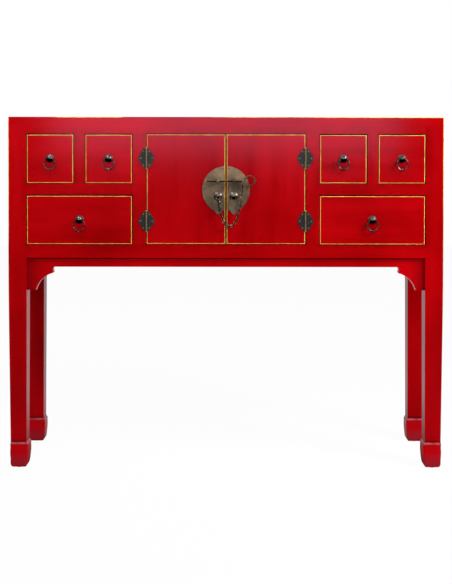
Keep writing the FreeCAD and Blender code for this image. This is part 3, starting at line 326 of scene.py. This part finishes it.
DRAWERS = (
    "upper_left_outer", "upper_left_inner", "upper_right_inner",
    "upper_right_outer", "lower_left", "lower_right",
)
FRONTS = [f"drawer_front_{name}" for name in DRAWERS] + ["door_left", "door_right"]
JOINT_START = (0.002, 0.004)
JOINT_END = (0.016, 0.012)
JOINT_WIDTH = (0.0035, 0.0025)
JOINT_LEAN = 0.0005
# The width and unevenness of the painted shadow line round each front.
SHADOW_LINE_WIDTH = (0.0025, 0.0016)
SHADOW_LINE_UNEVEN = 0.0006
SHADE_REACH = (0.02, 0.001)


def shaded_joints(finish):
    """Painted shade on the frame: a dark shadow line round each front, a little wider above it and at its
    right, a faint darkening that reaches further out, and dark shade in the first centimetre of the joint
    itself."""
    outside = None
    x, z = finish.x - JOINT_LEAN, finish.z - JOINT_LEAN
    for low, high in map(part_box, FRONTS):
        beside = (low.x - x).most(x - high.x)
        across = (low.z - z).most(z - high.z)
        away = beside.most(across)
        outside = away if outside is None else outside.least(away)
    uneven = finish.cloud(50.0, 2.0)
    line = (outside + uneven * SHADOW_LINE_UNEVEN).rise(*SHADOW_LINE_WIDTH)
    shade = outside.rise(*SHADE_REACH) * uneven.rise(0.3, 0.7)
    depth = finish.y - FRONT_FACE
    inside = depth.rise(*JOINT_START) * depth.rise(*JOINT_END) * outside.rise(*JOINT_WIDTH)
    return (line * 0.85).most(shade * 0.24).most(inside * 0.95)


HOOF_TOP = 0.0535
SHOULDER_TOP = 0.06
# Heights of the painted shade on the lower hooves.
HOOF_SHADE_TOP = 0.042
HOOF_SHADE_FULL = 0.008
HOOF_RIM = (0.004, 0.009)


def highlighted_hooves(finish):
    """A painted highlight: the bulge of each hoof is painted brighter than the leg."""
    return finish.z.rise(HOOF_TOP + 0.001, HOOF_TOP - 0.002) * 0.45


def shaded_hooves(finish):
    """Painted shade on the lower half of each hoof, where it curves under, and less of it on the turned-in
    rim.
    """
    return finish.z.rise(HOOF_SHADE_TOP, HOOF_SHADE_FULL) * (finish.z.rise(*HOOF_RIM) * 0.5 + 0.5)


def highlighted_shoulders(finish):
    """A painted reflection, in patches, on the sloped step above each hoof."""
    above_hoof = finish.z.rise(HOOF_TOP + 0.001, HOOF_TOP + 0.0035)
    below_leg = finish.z.rise(SHOULDER_TOP, SHOULDER_TOP - 0.0015)
    return below_leg * above_hoof * finish.cloud(90.0).rise(0.2, 0.7) * 0.75


def shaded_shoulder_corners(finish):
    """Painted shade in the corner above that step."""
    above_step = finish.z.rise(SHOULDER_TOP - 0.001, SHOULDER_TOP)
    return finish.z.rise(SHOULDER_TOP + 0.007, SHOULDER_TOP) * above_step * 0.6


# Painted shade in the joints round the openings and in the corner above each hoof step.
def shaded_front_legs(finish):
    return shaded_joints(finish).most(shaded_shoulder_corners(finish))


APRON_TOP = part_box("bottom_rail_front")[0].z
LEG_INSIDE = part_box("leg_front_right")[0].x
# Reaches of the painted shadow under the rail and beside the legs.
RAIL_SHADOW = (0.0038, 0.0014)
LEG_SHADOW_EDGE = (0.003, 0.0005)
CORNER_SHADE = (0.04, 0.0)


def lit_apron(finish):
    """Painted light: the apron is painted brighter in patches."""
    return finish.cloud(7.0).rise(0.2, 0.7) * 0.24


def shaded_apron(finish):
    """Painted shadow in the corners between the apron and the rail above it, and between its brackets and
    the legs, fading away from the legs.
    """
    under_rail = (APRON_TOP - finish.z).rise(*RAIL_SHADOW)
    aside = LEG_INSIDE - finish.x.math("ABSOLUTE")
    beside_leg = aside.rise(*LEG_SHADOW_EDGE) * 0.5
    shade = aside.rise(*CORNER_SHADE) * 0.4
    return under_rail.most(beside_leg).most(shade)


FLAT_NODES = ["top_board", "side_rails", "back_rails", "side_panels", "back_panel"]
APRON_NODES = ["apron_front", "apron_brackets"]
BACK_LEGS = ["leg_back_right", "leg_back_left"]
FRONT_LEGS = ["leg_front_left", "leg_front_right"]
RAIL_NODES = ["top_rail_front", "bottom_rail_front", "drawer_rails"]
POST_NODES = ["door_posts", "drawer_muntins"]


def coat(nodes, material):
    for node in nodes:
        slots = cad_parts[node].data.materials
        slots.clear()
        slots.append(material)


APRON_LAYERS = [(lit_apron, RED_PAINTED_LIGHT), (shaded_apron, RED_SHADE)]
HOOF_LAYERS = [(highlighted_hooves, RED_PAINTED_LIGHT), (shaded_hooves, RED_HOOF_SHADE), (highlighted_shoulders, RED_SHEEN)]
BACK_LEG_LAYERS = HOOF_LAYERS + [(shaded_shoulder_corners, RED_SHADE)]
FRONT_LEG_LAYERS = HOOF_LAYERS + [(shaded_front_legs, RED_SHADE)]
JOINT_LAYERS = [(shaded_joints, RED_SHADE)]
coat(FLAT_NODES, lacquer("flat_frame_lacquer", "x", rubbed_arrises))
coat(APRON_NODES, lacquer("apron_lacquer", "x", layers=APRON_LAYERS))
coat(BACK_LEGS, lacquer("back_leg_lacquer", "z", layers=BACK_LEG_LAYERS))
coat(FRONT_LEGS, lacquer("front_leg_lacquer", "z", rubbed_arrises, FRONT_LEG_LAYERS))
coat(RAIL_NODES, lacquer("rail_lacquer", "x", layers=JOINT_LAYERS))
coat(POST_NODES, lacquer("post_lacquer", "z", layers=JOINT_LAYERS))


# The feet stand on small turned glides of black plastic, nailed under the hooves.
# The floor has scuffed them grey in places.

GLIDE_BLACK = (0.012, 0.011, 0.01)
GLIDE_SCUFFED = (0.06, 0.055, 0.05)

glide_finish = Finish("glide_plastic", Specular_IOR_Level=0.4)
scuffs = glide_finish.cloud(300.0, 3.0).rise(0.45, 0.7)
glide_finish.feed(Base_Color=scuffs.blend(GLIDE_BLACK, GLIDE_SCUFFED), Roughness=0.45 + scuffs * 0.3)
coat(["foot_glides"], glide_finish.material)


# The inner boards, guides, stops and drawer boxes are plain softwood, planed and glued, and left without
# lacquer. The drawer boxes slide on the boards, between the guides.

WOOD_PALE = (0.56, 0.38, 0.2)
WOOD_DARK = (0.36, 0.21, 0.095)


def plain_wood(name, along):
    """Planed softwood with its grain along one axis."""
    finish = Finish(name, Specular_IOR_Level=0.3)
    grain = drawn_out(along, 0.06)
    drift = finish.cloud(6.0, 2.0, grain)
    rings = (finish.cloud(55.0, 2.0, grain, 0.4) * 0.7 + drift * 0.8).rise(0.45, 1.0)
    pores = finish.cloud(900.0, 2.0, drawn_out(along, 0.03)).rise(0.5, 0.75)
    tone = rings * 0.75 + pores * 0.25
    finish.feed(Base_Color=tone.blend(WOOD_PALE, WOOD_DARK), Roughness=0.55 + pores * 0.2)
    finish.relief(pores * -1, depth=0.0003, strength=0.5)
    return finish.material


coat(["bottom_board", "drawer_shelves"], plain_wood("board_wood", "x"))
coat(["partitions", "guides_and_stops"], plain_wood("upright_wood", "y"))
coat([f"drawer_box_{name}" for name in DRAWERS], plain_wood("drawer_wood", "y"))


# The drawer fronts and the doors are flush boards in the same red. Their rounded front edges carry a thin
# line of gold paint, drawn by hand, so it is a little uneven in width and in strength.

LINE_START = 0.0006
LINE_END = 0.0016
LINE_SOFT = 0.0003
LINE_UNEVEN = 0.0008
LINE_DEPTH = (0.006, 0.004)


def lined_front(node, along):
    """Coats a drawer front or a door, with a gold line along its edges and a rim of painted shade outside
    the line.
    """
    low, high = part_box(node)

    def from_edge(finish):
        beside = (finish.x - low.x).least(high.x - finish.x)
        across = (finish.z - low.z).least(high.z - finish.z)
        return beside.least(across)

    def gold_line(finish):
        edge = from_edge(finish) + (finish.cloud(45.0, 3.0) - 0.5) * LINE_UNEVEN
        thin = finish.cloud(16.0, 2.0).rise(0.2, 0.5) * 0.3 + 0.7
        in_front = (finish.y - FRONT_FACE).rise(*LINE_DEPTH)
        return edge.rise(LINE_END + LINE_SOFT, LINE_END - LINE_SOFT) * thin * in_front

    # Painted shade on the very edge of the front and on the edge faces behind it.
    def shaded_rim(finish):
        rim = from_edge(finish).rise(LINE_START + LINE_SOFT, LINE_START - 0.0001)
        return rim * (finish.y - FRONT_FACE).rise(*JOINT_END)

    coat([node], lacquer(f"{node}_lacquer", along, gold_line, [(shaded_rim, RED_SHADE)]))


for name in DRAWERS:
    lined_front(f"drawer_front_{name}", "x")
for side in ("left", "right"):
    lined_front(f"door_{side}", "z")


# The pulls are turned bosses of blackened bronze, set on the drawer fronts, each with a ring of bent wire
# that hangs in a hole through its neck. Handling has worn the black to grey, and shade is painted
# underneath.

BRONZE_DARK = (0.014, 0.0125, 0.0115)
BRONZE_WORN = (0.16, 0.138, 0.126)
# The colour of painted shade under bosses, hoods and the bolt, round parts on the lock and between links.
SHADE_BLACK = (0.006, 0.005, 0.004)
PULL_LEVELS = {round(sum(corner.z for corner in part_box(f"pull_boss_{name}")) / 2, 4) for name in DRAWERS}
PULL_REACH = 0.02


def shaded_boss_undersides(finish):
    """Painted shade on the lower side of each boss."""
    below = None
    for level in sorted(PULL_LEVELS):
        near = finish.z.rise(level - PULL_REACH, level - PULL_REACH + 0.002)
        side = finish.z.rise(level + 0.0005, level - 0.0015) * near
        below = side if below is None else below.most(side)
    return below


def bronze(name, worn, metal, layers=()):
    """Blackened bronze; worn runs from 0, black, to 1, rubbed to grey metal, and metal is how far it shines
    as bare metal does. Layers are as for lacquer."""
    finish = Finish(name, Metallic=metal, Specular_IOR_Level=0.35)
    patches = finish.cloud(170.0, 3.0, rough=0.6)
    pits = finish.cloud(700.0, 2.0)
    bright = (patches + (worn - 0.5)).rise(0.3, 0.75)
    colour = bright.blend(BRONZE_DARK, BRONZE_WORN)
    for tone_of, layer in layers:
        colour = tone_of(finish).blend(colour, layer)
    finish.feed(Base_Color=colour, Roughness=0.36 - bright * 0.14 + pits * 0.08)
    finish.relief(pits * 0.5 + patches, depth=0.0002, strength=0.4)
    return finish.material


boss_bronze = bronze("boss_bronze", worn=0.58, metal=0.9, layers=[(shaded_boss_undersides, SHADE_BLACK)])
ring_bronze = bronze("ring_bronze", worn=0.46, metal=0.85)
coat([f"pull_boss_{name}" for name in DRAWERS], boss_bronze)
coat([f"pull_ring_{name}" for name in DRAWERS], ring_bronze)


# The hinges have four-lobed plates of the same dark bronze, nailed to the posts and the doors with three
# bright nails a leaf. Their knuckles turn on brass pins and are rubbed to brass along the middle.

BRASS_PALE = (0.5, 0.36, 0.17)
BRASS_BROWN = (0.17, 0.115, 0.055)
HINGE_X = 0.179
HINGE_NODES = ["hinge_leaves_frame", "hinge_leaves_door_left", "hinge_leaves_door_right"]
PLATE_THICKNESS = 0.0015
PLATE_FACE = FRONT_FACE - PLATE_THICKNESS
KNUCKLE_RUB = (0.0017, 0.0009)


def rubbed_knuckles(finish):
    """A narrow line of bare brass down the front of the knuckles."""
    aside = (finish.x.math("ABSOLUTE") - HINGE_X).math("ABSOLUTE")
    proud = finish.y.rise(PLATE_FACE - 0.0005, PLATE_FACE - 0.0015)
    return aside.rise(*KNUCKLE_RUB) * proud * 0.34


coat(HINGE_NODES, bronze("hinge_bronze", worn=0.26, metal=0.3, layers=[(rubbed_knuckles, BRASS_PALE)]))


def brass(name, dark, pale, age, shine=0.4, metal=0.3, shade_of=None):
    """Brass with a brown skin; age is the share that has darkened, shine the roughness that it starts from,
    and metal how far it shines as bare metal does. The last argument gives the tone of painted shade."""
    finish = Finish(name, Metallic=metal, Specular_IOR_Level=0.22)
    skin = finish.cloud(38.0, 4.0, rough=0.65)
    specks = finish.cloud(420.0, 2.0)
    clean = (skin * 0.75 + specks * 0.25 - (age - 0.5)).rise(0.3, 0.7)
    colour = clean.blend(dark, pale)
    gloss = shine + 0.16 - clean * 0.12 + specks * 0.08
    if shade_of:
        shade_tone = shade_of(finish)
        colour = shade_tone.blend(colour, SHADE_BLACK)
        gloss = gloss + shade_tone * 0.3
    finish.feed(Base_Color=colour, Roughness=gloss)
    finish.relief(specks * 0.4 + skin, depth=0.0003, strength=0.35)
    return finish.material


coat(["hinge_pins"], brass("pin_brass", BRASS_BROWN, BRASS_PALE, 0.45))

NAIL_RADIUS = 0.0014
NAIL_RISE = 0.0006
NAIL_DARK = (0.06, 0.05, 0.043)
NAIL_PALE = (0.25, 0.22, 0.19)


def new_tree(name, result, **inputs):
    """A geometry tree with points and named inputs, and the function that adds nodes to it."""
    tree = bpy.data.node_groups.new(name, "GeometryNodeTree")
    for title, kind in {"Points": "Geometry", **inputs}.items():
        tree.interface.new_socket(title, in_out="INPUT", socket_type="NodeSocket" + kind)
    tree.interface.new_socket(result, in_out="OUTPUT", socket_type="NodeSocketGeometry")

    def add(kind, links=(), **settings):
        made = tree.nodes.new(kind)
        for setting, value in settings.items():
            setattr(made, setting, value)
        for socket, source in links:
            if hasattr(source, "is_output"):
                tree.links.new(source, made.inputs[socket])
            else:
                made.inputs[socket].default_value = source
        return made

    return tree, add


def nail_tree():
    """A tree that sets a low domed nail head, facing the front, on each point of a mesh."""
    tree, add = new_tree("nail_heads", "Nails", Radius="Float", Rise="Float", Metal="Material")
    given = add("NodeGroupInput").outputs
    ball = add("GeometryNodeMeshUVSphere", [("Segments", 14), ("Rings", 8), ("Radius", given["Radius"])])
    share = add("ShaderNodeMath", [(0, given["Rise"]), (1, given["Radius"])], operation="DIVIDE")
    squeeze = add("ShaderNodeCombineXYZ", [("X", 1.0), ("Y", share.outputs[0]), ("Z", 1.0)])
    head = add("GeometryNodeTransform", [("Geometry", ball.outputs["Mesh"]), ("Scale", squeeze.outputs[0])])
    smooth = add("GeometryNodeSetShadeSmooth", [("Geometry", head.outputs[0])])
    sowing = [("Points", given["Points"]), ("Instance", smooth.outputs[0])]
    sown = add("GeometryNodeInstanceOnPoints", sowing)
    real = add("GeometryNodeRealizeInstances", [("Geometry", sown.outputs[0])])
    metal = add("GeometryNodeSetMaterial", [("Geometry", real.outputs[0]), ("Material", given["Metal"])])
    add("NodeGroupOutput", [("Nails", metal.outputs[0])])
    return tree


NAIL_TREE = nail_tree()


def made_by_nodes(name, mesh, tree, **inputs):
    """Runs a geometry tree on a mesh and keeps the result as a plain mesh at the origin."""
    seed = bpy.data.objects.new(name, mesh)
    scene.collection.objects.link(seed)
    modifier = seed.modifiers.new("made", "NODES")
    modifier.node_group = tree
    for item in tree.interface.items_tree:
        if item.in_out == "INPUT" and item.name in inputs:
            modifier[item.identifier] = inputs[item.name]
    bpy.context.view_layer.update()
    result = bpy.data.meshes.new_from_object(seed.evaluated_get(bpy.context.evaluated_depsgraph_get()))
    seed.modifiers.remove(modifier)
    seed.data = result
    return seed


def nails(name, points, metal, body):
    """A row of nail heads at the points, on one body."""
    mesh = bpy.data.meshes.new(name)
    mesh.from_pydata([tuple(p) for p in points], [], [])
    heads = made_by_nodes(name, mesh, NAIL_TREE, Radius=NAIL_RADIUS, Rise=NAIL_RISE, Metal=metal)
    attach(heads, body)


bright_nail = brass("nail_brass", NAIL_DARK, NAIL_PALE, 0.48, shine=0.3)
low_pin, high_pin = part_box("hinge_pins")
HALF_HINGE = 0.0242
HINGE_LEVELS = (high_pin.z - HALF_HINGE, low_pin.z + HALF_HINGE)
LEAF_NAILS = ((0.0067, 0.0155), (0.0131, 0.0), (0.0067, -0.0155))


def leaf_nails(side, outward):
    """Nail places on the two leaves that lie to one side of a door's pins."""
    middle = HINGE_X * side
    return [
        (middle + outward * aside, PLATE_FACE, level + up)
        for level in HINGE_LEVELS
        for aside, up in LEAF_NAILS
    ]


nails("frame_hinge_nails", leaf_nails(-1, -1) + leaf_nails(1, 1), bright_nail, "frame")
nails("left_hinge_nails", leaf_nails(-1, 1), bright_nail, "door_left")
nails("right_hinge_nails", leaf_nails(1, -1), bright_nail, "door_right")


# The lock is a disc of sheet brass, cut in two and nailed to the doors with dark nails. The bolt, its eyes,
# the hooded bosses and the leaf pendants are cast and filed brass with the same brown skin.

PLATE_DARK = (0.11, 0.075, 0.046)
PLATE_PALE = (0.25, 0.165, 0.1)
PENDANT_DARK = (0.055, 0.038, 0.027)
PENDANT_PALE = (0.15, 0.104, 0.07)
BOLT_DARK = (0.05, 0.03, 0.014)
BOLT_PALE = (0.25, 0.155, 0.07)
STUD_DARK = (0.05, 0.04, 0.032)
STUD_PALE = (0.2, 0.16, 0.13)
# How far the painted shade of the lock looks for nearby parts.
OCCLUSION_REACH = 0.007
BOSS_RADIUS = 0.0095
BOLT_SHANK_END = 0.039
BOSS_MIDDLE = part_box("lock_studs_left")[0].z + BOSS_RADIUS
BOLT_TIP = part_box("bolt")[0].x
BOLT_MIDDLE = sum(corner.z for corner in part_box("bolt")) / 2


def shaded_corners(finish):
    """Painted shade, from ambient occlusion, where a bolt, boss, pendant or chain stands close to the sheet.
    """
    open_sky = finish.node("AmbientOcclusion", {"samples": 8}, {"Distance": OCCLUSION_REACH}, "AO")
    return open_sky.rise(0.85, 0.25) * 0.75


def plate_shade(finish):
    """Painted shade in the corners, the sheet darker towards the bottom and more so at the right, and a
    painted shadow line below the shank.
    """
    below_bolt = finish.z.rise(BOLT_MIDDLE + 0.002, BOLT_MIDDLE - 0.008)
    film = below_bolt * (finish.x.rise(-0.01, 0.03) * 0.14 + 0.3)
    past_tip = finish.x.rise(BOLT_TIP - 0.001, BOLT_TIP + 0.001)
    before_ring = finish.x.rise(BOLT_SHANK_END + 0.002, BOLT_SHANK_END)
    under_shank = finish.z.rise(BOLT_MIDDLE, BOLT_MIDDLE - 0.001)
    line = under_shank * finish.z.rise(BOLT_MIDDLE - 0.0042, BOLT_MIDDLE - 0.003) * past_tip * before_ring
    return shaded_corners(finish).most(film).most(line * 0.85)


def shaded_hoods(finish):
    """Painted shade on the lower side of each boss and its neck, under the hood."""
    return finish.z.rise(BOSS_MIDDLE + 0.0015, BOSS_MIDDLE - 0.002)


def shaded_bolt(finish):
    """Painted shade on the lower side of the shank, and a lighter, patchy darkening on the ring."""
    shank = finish.x.rise(BOLT_SHANK_END, BOLT_SHANK_END - 0.002)
    below = finish.z.rise(BOLT_MIDDLE + 0.0009, BOLT_MIDDLE - 0.0005)
    film = finish.cloud(150.0).rise(0.3, 0.7) * 0.3 + 0.35
    return (shank * below * 0.9).most((1 - shank) * film)


plate_brass = brass("plate_brass", PLATE_DARK, PLATE_PALE, 0.5, shine=0.46, shade_of=plate_shade)
pendant_brass = brass("pendant_brass", PENDANT_DARK, PENDANT_PALE, 0.52, shine=0.42, shade_of=shaded_corners)
bolt_brass = brass("bolt_brass", BOLT_DARK, BOLT_PALE, 0.47, shine=0.3, metal=0.6, shade_of=shaded_bolt)
stud_brass = brass("stud_brass", STUD_DARK, STUD_PALE, 0.48, shine=0.26, metal=0.85, shade_of=shaded_hoods)
coat(["lock_plate_left", "lock_plate_right"], plate_brass)
coat(["pendant_left", "pendant_right"], pendant_brass)
coat(["bolt"], bolt_brass)
coat(["lock_studs_left", "lock_studs_right"], stud_brass)

dark_nail = bronze("nail_bronze", worn=0.3, metal=0.3)
LOCK_MIDDLE = 0.631
PLATE_NAILS = ((0.0072, 0.0475), (0.0478, 0.0032), (0.0065, 0.0044))
for side, hand in (("left", -1), ("right", 1)):
    places = [(hand * aside, PLATE_FACE, LOCK_MIDDLE + up) for aside, up in PLATE_NAILS]
    nails(f"{side}_plate_nails", places, dark_nail, f"door_{side}")


# The chain is made of small bent links of brass wire. It hangs from a ring round the left boss to a ring
# round the bolt's shank. Its left strand and the foot of the boss's ring lie on the pendant.

CHAIN_DARK = (0.03, 0.021, 0.014)
CHAIN_PALE = (0.5, 0.375, 0.26)
# How far the painted shade between links looks for a neighbour.
LINK_OCCLUSION_REACH = 0.0025


def shaded_links(finish):
    """Painted shade where links touch, and on the links that hang edgewise."""
    open_sky = finish.node("AmbientOcclusion", {"samples": 8}, {"Distance": LINK_OCCLUSION_REACH}, "AO")
    edgewise = finish.node("Attribute", {"attribute_name": "edgewise"}, {}, "Fac")
    return open_sky.rise(0.75, 0.35).most(edgewise.rise(0.2, 0.8) * 0.9)


chain_brass = brass("chain_brass", CHAIN_DARK, CHAIN_PALE, 0.5, shine=0.2, metal=0.9, shade_of=shaded_links)


def loose_parts(node):
    """The separate solids of a CAD node, each as an array of its corners."""
    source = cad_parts[node]
    shape = bmesh.new()
    shape.from_mesh(source.data)
    shape.transform(source.matrix_world)
    bmesh.ops.remove_doubles(shape, verts=shape.verts, dist=1e-7)
    left, parts = set(shape.verts), []
    for first in shape.verts:
        if first not in left:
            continue
        left.remove(first)
        part = [first]
        for corner in part:
            for edge in corner.link_edges:
                other = edge.other_vert(corner)
                if other in left:
                    left.remove(other)
                    part.append(other)
        parts.append(np.array([corner.co for corner in part]))
    shape.free()
    return parts


ALMOST_HALF = 0.4999


def link_tree():
    """A tree that sets a link of round wire on each point of a mesh, turned as the point's own turn says."""
    measures = {"Length": "Float", "Width": "Float", "Wire": "Float"}
    tree, add = new_tree("chain_links", "Links", **measures, Metal="Material")
    given = add("NodeGroupInput").outputs
    sides = [("Width", given["Length"]), ("Height", given["Width"])]
    oblong = add("GeometryNodeCurvePrimitiveQuadrilateral", sides)
    half = add("ShaderNodeMath", [(0, given["Width"]), (1, ALMOST_HALF)], operation="MULTIPLY")
    bends = [("Curve", oblong.outputs[0]), ("Radius", half.outputs[0]), ("Count", 7)]
    path = add("GeometryNodeFilletCurve", bends, mode="POLY")
    wire = add("GeometryNodeCurvePrimitiveCircle", [("Resolution", 10), ("Radius", given["Wire"])])
    link = add("GeometryNodeCurveToMesh", [("Curve", path.outputs[0]), ("Profile Curve", wire.outputs[0])])
    smooth = add("GeometryNodeSetShadeSmooth", [("Geometry", link.outputs[0])])
    turn = add("GeometryNodeInputNamedAttribute", [("Name", "turn")], data_type="FLOAT_VECTOR")
    turned = add("FunctionNodeEulerToRotation", [("Euler", turn.outputs[0])])
    sowing = [("Points", given["Points"]), ("Instance", smooth.outputs[0]), ("Rotation", turned.outputs[0])]
    sown = add("GeometryNodeInstanceOnPoints", sowing)
    real = add("GeometryNodeRealizeInstances", [("Geometry", sown.outputs[0])])
    metal = add("GeometryNodeSetMaterial", [("Geometry", real.outputs[0]), ("Material", given["Metal"])])
    add("NodeGroupOutput", [("Links", metal.outputs[0])])
    return tree


LINK_TREE = link_tree()
LINK_LEAN = math.radians(20)
WIRE_SHARE = 1.2
low_end, high_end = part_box("chain")
MIDDLE_X = (low_end.x + high_end.x) / 2
loops = {}
for corners in loose_parts("chain"):
    _, axes = np.linalg.eigh(np.cov(corners.T))
    axes = axes[:, ::-1]
    axes[:, 2] = np.cross(axes[:, 0], axes[:, 1])
    spread = corners @ axes
    low, high = spread.min(axis=0), spread.max(axis=0)
    length, width, wire = (float(measure) for measure in high - low)
    middle = axes @ (low + high) / 2
    onward = Vector((high_end.z - middle[2], 0, middle[0] - MIDDLE_X))
    if Vector(axes[:, 0]).dot(onward) < 0:
        axes[:, :2] *= -1
    gauge = {"Length": length - wire, "Width": width - wire, "Wire": wire / 2 * WIRE_SHARE}
    loops.setdefault(round(length, 4), []).append((middle, Matrix(axes.tolist()), gauge))

for group in loops.values():
    place, _, gauge = group[0]
    links = len(group) > 1
    on_boss = place[0] < MIDDLE_X
    name = "chain_links" if links else "boss_end_ring" if on_boss else "bolt_end_ring"
    lean = Matrix.Rotation(LINK_LEAN if links else 0, 3, "X")
    mesh = bpy.data.meshes.new(name)
    mesh.from_pydata([tuple(middle) for middle, _, _ in group], [], [])
    turns = mesh.attributes.new("turn", "FLOAT_VECTOR", "POINT")
    turns.data.foreach_set("vector", [angle for _, turn, _ in group for angle in (turn @ lean).to_euler()])
    edges = mesh.attributes.new("edgewise", "FLOAT", "POINT")
    edges.data.foreach_set("value", [1 - abs(turn[1][2]) if links else 0 for _, turn, _ in group])
    piece = made_by_nodes(name, mesh, LINK_TREE, Metal=chain_brass, **gauge)
    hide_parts("chain")
    if links:
        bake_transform(piece)
    elif on_boss:
        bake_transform(piece)
    else:
        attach(piece, "door_left")
